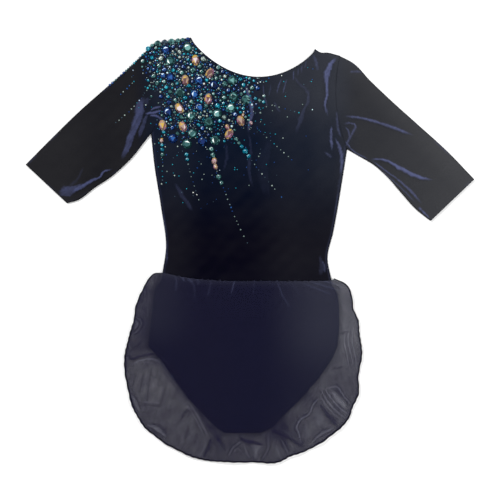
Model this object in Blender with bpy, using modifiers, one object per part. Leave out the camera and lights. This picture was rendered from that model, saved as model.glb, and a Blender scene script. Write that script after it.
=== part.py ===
"""A half-sleeved skating leotard in stretch velvet with a net skirt, laid flat on its back.

The garment lies in the XY plane with its neck towards +Y and the wearer's right sleeve towards
-X. The surface that it rests on is z = 0, and the origin is under the middle of its outline.
Tables are in millimetres, and MM turns them into Blender's metres.
"""

import math
import random

import bmesh
import bpy
import numpy as np
from mathutils import Matrix, Vector

MM = 0.001

# Walls, and the gaps between pieces
VELVET = 1.2
BRIEF = 1.0
NET = 1.0
SEAM_GAP = 0.3
ARMHOLE_GAP = 0.45  # along X, for about the seam gap square to the slanting armhole
LOFT = 0.7  # how far the front stands off the back away from its side seams
SIDE_SEAM_FADE = 14.0  # how far in from a side seam the loft is reached

# Heights of each layer's underside
FRONT_SEAT = VELVET + SEAM_GAP
BRIEF_BACK_SEAT = NET + SEAM_GAP
BRIEF_FRONT_SEAT = BRIEF_BACK_SEAT + BRIEF + SEAM_GAP
SKIRT_FRONT_SEAT = BRIEF_FRONT_SEAT + BRIEF + SEAM_GAP
SLEEVE_HIGH = FRONT_SEAT + LOFT + VELVET
WAIST_RISE = BRIEF_FRONT_SEAT - FRONT_SEAT - LOFT  # lifts the front's hem to the brief's
WAIST_FADE = 30.0
BRIEF_ROOM = 15.0  # how far past the brief's edge the net keeps the brief's height
BRIEF_SLOPE = 16.0  # how far it then takes to come down on the net below

# Bodice outline: the corners, then the curves between them
UNDERARM_RIGHT = (-148.5, 175.5)
UNDERARM_LEFT = (145.5, 151.5)
SHOULDER_RIGHT = (-146.0, 309.0)
SHOULDER_LEFT = (135.0, 291.0)
NECK_RIGHT = (-88.5, 318.5)
NECK_LEFT = (97.5, 301.5)
ARMHOLE_BOW_RIGHT = 20.0
ARMHOLE_BOW_LEFT = 11.0
NECK_DEEP = 50.0
NECK_DEEP_BACK = 56.0
NECK_FULL = 0.28  # 0 is a parabola and 1 half an ellipse
SHOULDER_DIP = 4.2
DIP_PLACE = 0.26  # where along the left shoulder seam it dips
DIP_SHARE = 0.2
WAIST = [(-131.0, -33.0), (-84.0, -41.0), (-46.0, -44.0), (20.0, -44.5), (122.0, -45.0)]
SIDE_RIGHT = [WAIST[0], (-126.0, 2.0), (-133.0, 62.0), (-143.5, 128.0), UNDERARM_RIGHT]
SIDE_LEFT = [WAIST[-1], (116.2, -12.0), (124.8, 27.0), (137.5, 100.0), UNDERARM_LEFT]
SLEEVE_TURNS = 4  # flats round each folded edge of a sleeve
UNDERARM_ROW = 0.6  # where along a side the side seam ends and the armhole starts
SHOULDER_COLUMNS = (0.2, 0.9)  # where along the top the neck starts and ends

# Sleeves, a row for each section: top edge x, y, underarm edge x, y, and the section's bow
SLEEVE_RIGHT = [
    (*SHOULDER_RIGHT, *UNDERARM_RIGHT, ARMHOLE_BOW_RIGHT),
    (-165.0, 289.0, -160.0, 160.0, 14.0),
    (-191.0, 264.5, -178.5, 136.5, 8.0),
    (-217.0, 242.0, -203.0, 113.5, 4.0),
    (-257.0, 206.5, -232.0, 93.5, 0.0),
    (-297.0, 167.5, -255.0, 76.0, 0.0),
    (-336.0, 128.0, -274.0, 70.0, 0.0),
]
SLEEVE_LEFT = [
    (*SHOULDER_LEFT, *UNDERARM_LEFT, -ARMHOLE_BOW_LEFT),
    (154.5, 280.5, 162.0, 141.5, -8.0),
    (180.0, 254.0, 184.0, 128.5, -4.0),
    (213.0, 222.5, 205.5, 109.5, -2.0),
    (252.0, 187.5, 226.0, 86.0, 0.0),
    (295.0, 148.5, 247.0, 62.5, 0.0),
    (336.0, 106.0, 270.5, 43.5, 0.0),
]

# Brief, a row for each section: y, and the x of its right and left edge as worn
BRIEF_ROWS = [
    (-60.0, -142.5, 130.5),
    (-90.0, -146.0, 133.5),
    (-120.0, -150.0, 133.5),
    (-145.0, -152.0, 131.0),
    (-163.0, -134.0, 123.0),
    (-192.0, -115.0, 103.0),
    (-224.0, -91.0, 75.0),
    (-250.0, -66.0, 48.0),
    (-266.0, -50.0, 34.0),
    (-274.0, -38.0, 15.0),
]
LEG_CUT = 5.0  # how much higher the front's leg openings are cut than the back's
LEG_START = -145.0

# Skirt hem, from the right side seam round to the left one
HEM = [
    (-134.0, -35.5), (-141.0, -35.0), (-152.5, -45.0), (-159.5, -58.0), (-165.0, -70.0),
    (-171.5, -86.0), (-173.5, -106.0), (-181.0, -131.0), (-187.5, -155.0), (-186.5, -182.0),
    (-181.5, -214.0), (-172.0, -243.0), (-155.0, -267.0), (-120.0, -293.5), (-83.0, -310.0),
    (-62.0, -316.0), (-34.0, -316.5), (7.0, -318.0), (48.0, -315.5), (60.0, -308.5),
    (88.0, -299.0), (108.0, -287.0), (139.0, -262.0), (150.0, -248.0), (153.5, -236.0),
    (162.0, -213.0), (162.0, -194.0), (167.0, -155.0), (163.5, -124.0), (161.0, -104.0),
    (156.0, -92.0), (151.5, -68.0), (145.0, -53.0), (126.0, -43.0),
]
HEM_WAVES = 17  # ripples round the whole hem
HEM_WOBBLE = 0.6
HEM_LIFT = 2.6
HEM_SHARE = 0.55  # how far up from the hem the front's ripples reach
HEM_CALM = 0.08  # share of the hem beside each side seam where the ripples fade
BACK_HEM_INSET = 3.0

# Folds, a row for each: start x, y, middle x, y, end x, y, half width, height
FOLDS = [
    (-152, 226, -172, 182, -194, 136, 8.0, 4.6),
    (-148, 206, -158, 186, -168, 160, 6.0, 2.6),
    (-206, 124, -238, 106, -272, 84, 7.0, 3.6),
    (158, 197, 196, 192, 240, 171, 6.5, 3.0),
    (176, 133, 218, 122, 268, 97, 7.0, 3.6),
    (126, 287, 112, 266, 115, 204, 7.0, 3.8),
    (122, 196, 131, 150, 126, 92, 6.5, 3.2),
    (-6, 238, 4, 206, 0, 172, 6.5, 2.6),
    (74, 236, 88, 206, 70, 162, 8.0, 2.2),
    (-114, 100, -101, 80, -84, 56, 8.0, 1.8),
    (30, 168, 18, 128, 26, 74, 12.0, 2.0),
    (-176, -176, -150, -168, -122, -186, 7.0, 2.6),
    (44, -54, 60, -92, 86, -132, 9.0, 1.6),
    (78, -56, 104, -62, 128, -76, 6.0, 1.8),
    (96, -222, 66, -256, 74, -284, 8.0, 3.2),
    (100, -214, 132, -212, 146, -246, 8.0, 3.2),
    (-74, -268, -66, -290, -68, -312, 7.0, 3.0),
    (0, -276, 24, -284, 28, -312, 8.0, 3.0),
]
FOLD_STEPS = 8

# Large cut stones: a spray over the right shoulder
SPRAY_CENTRE = (-100.0, 292.0)
SPRAY_REACH = [  # bearing in degrees, and how far the spray is thick that way
    (-215.0, 52.0), (-180.0, 56.0), (-150.0, 60.0), (-122.0, 66.0), (-112.0, 92.0),
    (-104.0, 124.0), (-90.0, 134.0), (-60.0, 142.0), (-40.0, 134.0), (-15.0, 112.0), (20.0, 60.0),
]
STONE_SEED = 31
STONE_TRIES = 4000
STONE_SPACE = 4.6  # least clear cloth between two large stones
STONE_MARGIN = 3.0  # least cloth between a stone and an edge or the armhole seam
STONE_SINK = 0.7
STONE_HIGH = 0.34  # of its width
STONE_TABLE = 0.56  # the flat top's share of the width
STONE_SIDES = 8
STONES = [  # kind, how many, width, length
    ("opal_oval", 9, 10.0, 14.5),
    ("sea_round", 13, 12.5, 12.5),
    ("sapphire_round", 9, 12.0, 12.0),
]

COLOURS = {  # name: colour, roughness, metallic
    "velvet": ((0.006, 0.008, 0.022, 1), 0.75, 0.0),
    "brief": ((0.009, 0.010, 0.030, 1), 0.7, 0.0),
    "net": ((0.040, 0.038, 0.055, 1), 0.6, 0.0),
}


def along(points, t):
    """The point at share t of a smooth curve through the points, spaced by their distances."""
    p = np.array(points, float)
    knots = np.concatenate([[0], np.cumsum(np.linalg.norm(np.diff(p[:, :2], axis=0), axis=1))])
    knots /= knots[-1]
    slopes = np.gradient(p, knots, axis=0)
    i = min(max(int(np.searchsorted(knots, t, side="right")) - 1, 0), len(p) - 2)
    width = knots[i + 1] - knots[i]
    s = (t - knots[i]) / width
    return (
        (2 * s**3 - 3 * s**2 + 1) * p[i]
        + (s**3 - 2 * s**2 + s) * width * slopes[i]
        + (3 * s**2 - 2 * s**3) * p[i + 1]
        + (s**3 - s**2) * width * slopes[i + 1]
    )


def bowed(a, b, bow, t):
    """The point at share t of a shallow arc from a to b, bowed along +X at its middle."""
    straight = (1 - t) * np.array(a, float) + t * np.array(b, float)
    return straight + np.array([bow * 4 * t * (1 - t), 0.0])


def smooth(x):
    """0 up to 0, 1 from 1 on, and a soft step between them."""
    x = min(max(x, 0.0), 1.0)
    return x * x * (3 - 2 * x)


def neck(t, deep):
    """The point at share t of the neckline, from the right neck point to the left one."""
    across = 2 * t - 1
    arc = 1 - across**2
    drop = (1 - NECK_FULL) * arc + NECK_FULL * math.sqrt(max(arc, 0))
    return (1 - t) * np.array(NECK_RIGHT) + t * np.array(NECK_LEFT) - np.array([0, deep * drop])


def bodice_top(u, deep):
    """The bodice's upper edge at share u: right shoulder seam, neckline, left shoulder seam."""
    start, end = SHOULDER_COLUMNS
    if u <= start:
        return (1 - u / start) * np.array(SHOULDER_RIGHT) + u / start * np.array(NECK_RIGHT)
    if u <= end:
        return neck((u - start) / (end - start), deep)
    t = (u - end) / (1 - end)
    dip = np.array([0, SHOULDER_DIP * math.exp(-(((t - DIP_PLACE) / DIP_SHARE) ** 2)) * (1 - t)])
    return (1 - t) * np.array(NECK_LEFT) + t * np.array(SHOULDER_LEFT) - dip


def bodice_side(side, underarm, shoulder, bow, v):
    """A side of the bodice at share v: the side seam up to the underarm, then the armhole."""
    if v <= UNDERARM_ROW:
        return along(side, v / UNDERARM_ROW)
    return bowed(underarm, shoulder, bow, (v - UNDERARM_ROW) / (1 - UNDERARM_ROW))


def bodice_point(u, v, deep):
    """A patch between the bodice's four edges: u from right to left, v from waist to neck."""
    right = (SIDE_RIGHT, UNDERARM_RIGHT, SHOULDER_RIGHT, ARMHOLE_BOW_RIGHT)
    left = (SIDE_LEFT, UNDERARM_LEFT, SHOULDER_LEFT, -ARMHOLE_BOW_LEFT)
    corners = (
        (1 - u) * (1 - v) * np.array(WAIST[0])
        + u * (1 - v) * np.array(WAIST[-1])
        + (1 - u) * v * np.array(SHOULDER_RIGHT)
        + u * v * np.array(SHOULDER_LEFT)
    )
    return (
        (1 - v) * along(WAIST, u)
        + v * bodice_top(u, deep)
        + (1 - u) * bodice_side(*right, v)
        + u * bodice_side(*left, v)
        - corners
    )


def fold_lift(x, y):
    """How far the folds raise the cloth at a point."""
    lift = 0.0
    for x0, y0, x1, y1, x2, y2, wide, high in FOLDS:
        best = 0.0
        for i in range(FOLD_STEPS + 1):
            t = i / FOLD_STEPS
            cx = (1 - t) ** 2 * x0 + 2 * t * (1 - t) * (2 * x1 - (x0 + x2) / 2) + t**2 * x2
            cy = (1 - t) ** 2 * y0 + 2 * t * (1 - t) * (2 * y1 - (y0 + y2) / 2) + t**2 * y2
            near = math.exp(-((x - cx) ** 2 + (y - cy) ** 2) / wide**2)
            best = max(best, near * math.sqrt(math.sin(math.pi * (0.08 + 0.84 * t))))
        lift += best * high
    return lift


def front_seat(x, y, inside):
    """The height of the bodice front's underside. inside is the distance from its side seam."""
    waist = 1 - smooth((y - WAIST[-1][1]) / WAIST_FADE)
    loft = LOFT * smooth(inside / SIDE_SEAM_FADE)
    return FRONT_SEAT + loft + waist * WAIST_RISE + fold_lift(x, y) * (1 - waist) * loft / LOFT


def brief_edges(y, cut):
    """The x of the brief's right and left edge at a height, its leg openings cut in by cut."""
    rows = np.array([(WAIST[-1][1], WAIST[0][0] - 4, WAIST[-1][0] + 3), *BRIEF_ROWS])[::-1]
    drawn = smooth((LEG_START - y) / 20) * cut
    return (
        np.interp(y, rows[:, 0], rows[:, 1]) + drawn,
        np.interp(y, rows[:, 0], rows[:, 2]) - drawn,
    )


def over_brief(x, y):
    """1 over the brief, falling to 0 a little outside its edge."""
    right, left = brief_edges(y, 0)
    outside = max(right - x, x - left, BRIEF_ROWS[-1][0] - y, 0)
    return 1 - smooth((outside - BRIEF_ROOM) / BRIEF_SLOPE)


def hem_wave(u, phase):
    """An uneven ripple round the hem, from -1 to 1."""
    turn = 2 * math.pi * HEM_WAVES * u
    short = math.sin(turn + 1.3 * math.sin(3.1 * turn / HEM_WAVES) + phase)
    return 0.65 * short + 0.35 * math.sin(0.62 * turn + 2 * phase)


def skirt_point(u, v, inset, phase):
    """A point of the skirt: u from the right side round to the left, v from waist to hem."""
    seam = along(WAIST, u) - np.array([0, 2 * SEAM_GAP])
    centre = np.array([-10.0, -150.0])
    edge = along(HEM, u)
    out = (edge - centre) / np.linalg.norm(edge - centre)
    ease = smooth(min(u, 1 - u) / 0.06)
    edge = edge + out * (HEM_WOBBLE * hem_wave(u, phase) - inset) * ease
    return (1 - v) * seam + v * edge


def material(name):
    """The Principled material of that name."""
    made = bpy.data.materials.get(name)
    if made is None:
        colour, rough, metallic = COLOURS[name]
        made = bpy.data.materials.new(name)
        made.use_nodes = True
        shader = made.node_tree.nodes["Principled BSDF"]
        shader.inputs["Base Color"].default_value = colour
        shader.inputs["Roughness"].default_value = rough
        shader.inputs["Metallic"].default_value = metallic
    return made


def finish(name, bm, thickness, outward, finish_name):
    """Makes an object of the surface, with a wall outside it, or inside where outward is -1."""
    bmesh.ops.recalc_face_normals(bm, faces=bm.faces)
    if outward > 0 and sum(face.normal.z for face in bm.faces) < 0:
        bmesh.ops.reverse_faces(bm, faces=bm.faces)
    mesh = bpy.data.meshes.new(name)
    bm.to_mesh(mesh)
    bm.free()
    mesh.shade_smooth()
    mesh.materials.append(material(finish_name))
    obj = bpy.data.objects.new(name, mesh)
    garment.objects.link(obj)
    wall = obj.modifiers.new("wall", "SOLIDIFY")
    wall.thickness = thickness * MM
    wall.offset = outward
    return obj


def panel(name, columns, rows, place, thickness, finish_name):
    """A flat piece: a grid laid out by place(u, v), whose wall stands up from its underside."""
    bm = bmesh.new()
    bmesh.ops.create_grid(bm, x_segments=columns, y_segments=rows, size=0.5)
    for vert in bm.verts:
        vert.co = [c * MM for c in place(vert.co.x + 0.5, vert.co.y + 0.5)]
    return finish(name, bm, thickness, 1, finish_name)


def sleeve(name, sections, columns, rows, seam):
    """A flattened tube through the sections. seam moves its armhole off the bodice."""
    radius = SLEEVE_HIGH / 2
    turns = [math.radians(90 - 180 * i / SLEEVE_TURNS) for i in range(SLEEVE_TURNS + 1)]
    ring = [(0, -turn) for turn in turns]
    ring += [(i / columns, math.pi / 2) for i in range(1, columns)]
    ring += [(1, turn) for turn in turns]
    ring += [(i / columns, -math.pi / 2) for i in range(columns - 1, 0, -1)]

    def place(station, v):
        share, turn = station
        x0, y0, x1, y1, bow = along(sections, v)
        wide = math.hypot(x1 - x0, y1 - y0)
        end = radius / wide
        t = end + share * (1 - 2 * end) + (2 * round(share) - 1) * end * math.cos(turn)
        x, y = bowed((x0, y0), (x1, y1), bow, t)
        z = radius * (1 + math.sin(turn))
        if turn > 0:
            z += fold_lift(x, y) * smooth(min(t, 1 - t) * wide / SIDE_SEAM_FADE)
        return [(x + seam * (1 - v)) * MM, y * MM, z * MM]

    bm = bmesh.new()
    bmesh.ops.create_grid(bm, x_segments=len(ring), y_segments=rows, size=0.5)
    for vert in bm.verts:
        station = ring[round((vert.co.x + 0.5) * len(ring)) % len(ring)]
        vert.co = place(station, vert.co.y + 0.5)
    bmesh.ops.remove_doubles(bm, verts=bm.verts, dist=0.01 * MM)
    return finish(name, bm, VELVET, -1, "velvet")


def armhole_x(y):
    """The x of the right armhole seam at a height."""
    low, high = UNDERARM_RIGHT[1], SHOULDER_RIGHT[1]
    return bowed(UNDERARM_RIGHT, SHOULDER_RIGHT, ARMHOLE_BOW_RIGHT, (y - low) / (high - low))[0]


def neck_y(x):
    """The height of the neckline at an x, or of the right shoulder seam beside it."""
    if x < NECK_RIGHT[0]:
        return np.interp(x, [SHOULDER_RIGHT[0], NECK_RIGHT[0]], [SHOULDER_RIGHT[1], NECK_RIGHT[1]])
    return neck((x - NECK_RIGHT[0]) / (NECK_LEFT[0] - NECK_RIGHT[0]), NECK_DEEP)[1]


def spray_reach(x, y):
    """How far out a point is in the spray: 0 at its centre and 1 at its edge."""
    dx, dy = x - SPRAY_CENTRE[0], y - SPRAY_CENTRE[1]
    bearing = math.degrees(math.atan2(dy, dx))
    if bearing > SPRAY_REACH[-1][0]:
        bearing -= 360
    reach = np.interp(bearing, [b for b, _ in SPRAY_REACH], [r for _, r in SPRAY_REACH])
    return math.hypot(dx, dy) / reach


def large_stones():
    """The large stones' places on the bodice front: x, y, half width, half length and turn."""
    dice = random.Random(STONE_SEED)
    waiting = [(w / 2, l / 2) for _, count, w, l in STONES for _ in range(count)]
    placed = []
    for _ in range(STONE_TRIES):
        x, y, turn = dice.uniform(-175, 35), dice.uniform(150, 320), dice.uniform(-40, 40)
        if not waiting:
            break
        half, long = waiting[0]
        clear = min(x - armhole_x(y), (neck_y(x) - y) * 0.8) - long
        apart = [math.hypot(x - p[0], y - p[1]) - long - p[3] for p in placed]
        if clear < STONE_MARGIN or spray_reach(x, y) > 1 or min(apart, default=99) < STONE_SPACE:
            continue
        placed.append((x, y, half, long, math.radians(turn)))
        waiting.pop(0)
    return placed


def set_stones(obj):
    """Joins the large stones to the outer face of the piece and leaves its inside plain."""
    bpy.context.view_layer.update()
    cloth = obj.evaluated_get(bpy.context.evaluated_depsgraph_get())
    bm = bmesh.new()
    for x, y, half, long, turn in large_stones():
        _, seat, normal, _ = cloth.ray_cast((x * MM, y * MM, 1), (0, 0, -1))
        high = 2 * half * STONE_HIGH + STONE_SINK
        lean = Vector((0, 0, 1)).rotation_difference(normal).to_matrix().to_4x4()
        place = Matrix.Translation(seat + normal * (high / 2 - STONE_SINK) * MM) @ lean
        shape = Matrix.Rotation(turn, 4, "Z") @ Matrix.Diagonal([half * MM, long * MM, high * MM, 1])
        bmesh.ops.create_cone(
            bm, cap_ends=True, segments=STONE_SIDES, radius1=1, radius2=STONE_TABLE, depth=1,
            matrix=place @ shape,
        )
    mesh = bpy.data.meshes.new(obj.name + "_stones")
    bm.to_mesh(mesh)
    bm.free()
    stones = bpy.data.objects.new(mesh.name, mesh)
    stones.hide_render = True
    stones.display_type = "WIRE"
    cutters.objects.link(stones)
    obj.modifiers.new("split", "TRIANGULATE")
    join = obj.modifiers.new("stones", "BOOLEAN")
    join.operation = "UNION"
    join.object = stones


def front_place(u, v):
    """A point of the bodice front's underside."""
    x, y = bodice_point(u, v, NECK_DEEP)
    inside = min(u, 1 - u) * 270 if v < UNDERARM_ROW else SIDE_SEAM_FADE
    inside = max(inside, (v - UNDERARM_ROW) * 200)
    return x, y, front_seat(x, y, inside)


def back_place(u, v):
    """A point of the bodice back's underside."""
    x, y = bodice_point(u, v, NECK_DEEP_BACK)
    return x, y, 0.0


def brief_place(seat, cut):
    """The function that lays out a brief panel whose underside is at seat."""

    def place(u, v):
        low = BRIEF_ROWS[-1][0] + cut
        seam_y = along(WAIST, u)[1] - 2 * SEAM_GAP
        y = low + (seam_y - low) * v
        right, left = brief_edges(min(y, WAIST[-1][1]), cut)
        top = smooth((v - 0.9) / 0.1)
        right = (1 - top) * right + top * (WAIST[0][0] + SEAM_GAP)
        left = (1 - top) * left + top * (WAIST[-1][0] - SEAM_GAP)
        return right + (left - right) * u, y, seat

    return place


def skirt_front_place(u, v):
    """A point of the front skirt's underside, v from hem to waist."""
    x, y = skirt_point(u, 1 - v, 0, 0.0)
    seat = BRIEF_BACK_SEAT + (SKIRT_FRONT_SEAT - BRIEF_BACK_SEAT) * over_brief(x, y)
    free = smooth((HEM_SHARE - v) / HEM_SHARE) * smooth(min(u, 1 - u) / HEM_CALM)
    ripple = HEM_LIFT * free * (0.5 + 0.5 * hem_wave(u, 0.4))
    return x, y, seat + ripple + fold_lift(x, y) * smooth((1 - v - 0.02) / 0.1)


def skirt_back_place(u, v):
    """A point of the back skirt's underside, which lies flat on the surface."""
    x, y = skirt_point(u, 1 - v, BACK_HEM_INSET, 2.1)
    return x, y, 0.0


def collection(name):
    """A new collection in the scene."""
    made = bpy.data.collections.new(name)
    bpy.context.scene.collection.children.link(made)
    return made


for old in list(bpy.data.objects):
    bpy.data.objects.remove(old)
garment = collection("leotard")
cutters = collection("cutters")
front = panel("bodice_front", 30, 30, front_place, VELVET, "velvet")
set_stones(front)
panel("bodice_back", 10, 30, back_place, VELVET, "velvet")
sleeve("sleeve_right", SLEEVE_RIGHT, 12, 14, -ARMHOLE_GAP)
sleeve("sleeve_left", SLEEVE_LEFT, 12, 14, ARMHOLE_GAP)
panel("brief_front", 8, 16, brief_place(BRIEF_FRONT_SEAT, LEG_CUT), BRIEF, "brief")
panel("brief_back", 8, 16, brief_place(BRIEF_BACK_SEAT, 0.0), BRIEF, "brief")
panel("skirt_front", 68, 12, skirt_front_place, NET, "net")
panel("skirt_back", 34, 10, skirt_back_place, NET, "net")
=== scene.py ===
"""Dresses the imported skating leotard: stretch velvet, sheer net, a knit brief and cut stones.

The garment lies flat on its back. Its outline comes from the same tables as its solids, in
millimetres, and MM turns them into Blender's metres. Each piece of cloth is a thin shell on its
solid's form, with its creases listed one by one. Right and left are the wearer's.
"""

import logging
import math
import random
from dataclasses import dataclass, field
from enum import Enum
from typing import ClassVar

import bpy
import numpy as np
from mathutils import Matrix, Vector


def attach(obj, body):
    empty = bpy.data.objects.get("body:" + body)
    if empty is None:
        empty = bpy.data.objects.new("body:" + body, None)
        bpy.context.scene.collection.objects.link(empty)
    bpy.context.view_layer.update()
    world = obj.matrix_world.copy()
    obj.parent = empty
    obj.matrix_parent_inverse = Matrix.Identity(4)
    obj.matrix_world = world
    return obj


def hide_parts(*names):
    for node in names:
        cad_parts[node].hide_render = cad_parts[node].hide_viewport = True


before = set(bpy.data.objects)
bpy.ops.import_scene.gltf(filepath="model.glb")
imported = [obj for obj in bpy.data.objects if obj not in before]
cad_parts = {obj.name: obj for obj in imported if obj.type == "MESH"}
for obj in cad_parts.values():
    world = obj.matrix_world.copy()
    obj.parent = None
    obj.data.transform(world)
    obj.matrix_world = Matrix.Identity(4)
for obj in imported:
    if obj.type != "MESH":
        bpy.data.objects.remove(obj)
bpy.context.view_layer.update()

MM = 0.001
LOG = logging.getLogger("leotard")

Pair = tuple[float, float]
Row = tuple[float, float, float]
Colour = tuple[float, float, float]
Array = np.ndarray
Obj = bpy.types.Object
Material = bpy.types.Material
Node = bpy.types.Node


def smooth(x: Array | float) -> Array:
    """0 up to 0, 1 from 1 on, and a soft step between them."""
    x = np.clip(x, 0.0, 1.0)
    return x * x * (3 - 2 * x)


def along(points: list[Pair] | Array, t: Array | float) -> Array:
    """Points of a smooth curve through the given ones, spaced by their distances.

    Args:
        points: The points of the curve, a row each, whose first two columns are x and y.
        t: The shares along the curve, from 0 to 1.

    Returns:
        A row of the points' columns for each share.
    """
    p = np.array(points, float)
    knots = np.concatenate([[0], np.cumsum(np.linalg.norm(np.diff(p[:, :2], axis=0), axis=1))])
    knots /= knots[-1]
    slopes = np.gradient(p, knots, axis=0)
    t = np.asarray(t, float)
    i = np.clip(np.searchsorted(knots, t, side="right") - 1, 0, len(p) - 2)
    width = (knots[i + 1] - knots[i])[..., None]
    s = (t - knots[i])[..., None] / width
    return (
        (2 * s**3 - 3 * s**2 + 1) * p[i]
        + (s**3 - 2 * s**2 + s) * width * slopes[i]
        + (3 * s**2 - 2 * s**3) * p[i + 1]
        + (s**3 - s**2) * width * slopes[i + 1]
    )


def bowed(a: Pair, b: Pair, bow: Array | float, t: Array) -> Array:
    """Points of a shallow arc, bowed along +X at its middle.

    Args:
        a: Where it starts.
        b: Where it ends.
        bow: How far its middle is moved.
        t: The shares along it.

    Returns:
        The x and y of each point.
    """
    t = np.asarray(t, float)[..., None]
    arc = (1 - t) * np.array(a, float) + t * np.array(b, float)
    arc[..., 0] += np.asarray(bow) * 4 * (t * (1 - t))[..., 0]
    return arc


def measured(path: tuple[Pair, ...], steps: int) -> tuple[Array, Array]:
    """Points of a smooth curve through a path's, and how far along it each one lies."""
    line = along(path, np.linspace(0, 1, steps))
    return line, np.concatenate([[0], np.cumsum(np.linalg.norm(np.diff(line, axis=0), axis=1))])


def uneven(x: Array, y: Array, size: float, seed: int) -> Array:
    """A soft uneven field from about -1 to 1, made of a few crossing waves.

    Args:
        x: The points' x, in millimetres.
        y: The points' y.
        size: The distance between two of its hills, in millimetres.
        seed: The number that its directions are drawn from.

    Returns:
        Its value at each point.
    """
    dice = random.Random(seed)
    total = np.zeros_like(np.asarray(x, float))
    for _ in range(6):
        turn, phase = dice.uniform(0, math.pi), dice.uniform(0, 2 * math.pi)
        pitch = 2 * math.pi / (size * dice.uniform(0.6, 1.6))
        total += np.sin((x * math.cos(turn) + y * math.sin(turn)) * pitch + phase)
    return total / 3.5


def bell(value: Array) -> Array:
    """1 at 0, falling off softly to both sides."""
    return np.exp(-(value**2))


def quarter_round(share: Array) -> Array:
    """0 at an edge, rising as a quarter circle to 1 at a share of 1."""
    return np.sqrt(1 - (1 - np.clip(share, 0, 1)) ** 2)


def grid(columns: int, rows: int) -> tuple[Array, Array]:
    """The shares u and v of the points of a grid with so many faces each way."""
    return np.meshgrid(np.linspace(0, 1, columns + 1), np.linspace(0, 1, rows + 1))


def mixed(a: Colour, b: Colour, share: Array) -> Array:
    """Colours between a and b."""
    share = np.clip(share, 0, 1)[..., None]
    return (1 - share) * np.array(a) + share * np.array(b)


@dataclass(frozen=True)
class Ramp:
    """A soft step over the garment: 0 up to a distance along a direction, 1 from further on."""

    start: float
    over: float
    way: Pair = (1.0, 0.0)

    def at(self, x: Array, y: Array) -> Array:
        """Its value at points."""
        return smooth((x * self.way[0] + y * self.way[1] - self.start) / self.over)


UP, RIGHT = (0.0, 1.0), (-1.0, 0.0)
Haze = tuple[tuple[float, tuple[Ramp, ...]], ...]  # each part's strength and ramps
Mottle = tuple[float, float, int]  # strength, size and seed of an unevenness


def summed(haze: Haze, x: Array, y: Array) -> Array:
    """Adds up the parts of a haze, each as strong as stated where all its ramps are up.

    Args:
        haze: The parts.
        x: The points' x.
        y: The points' y.

    Returns:
        The haze at each point.
    """
    total = np.zeros_like(x)
    for strength, ramps in haze:
        total = total + strength * math.prod([ramp.at(x, y) for ramp in ramps])
    return total


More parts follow.
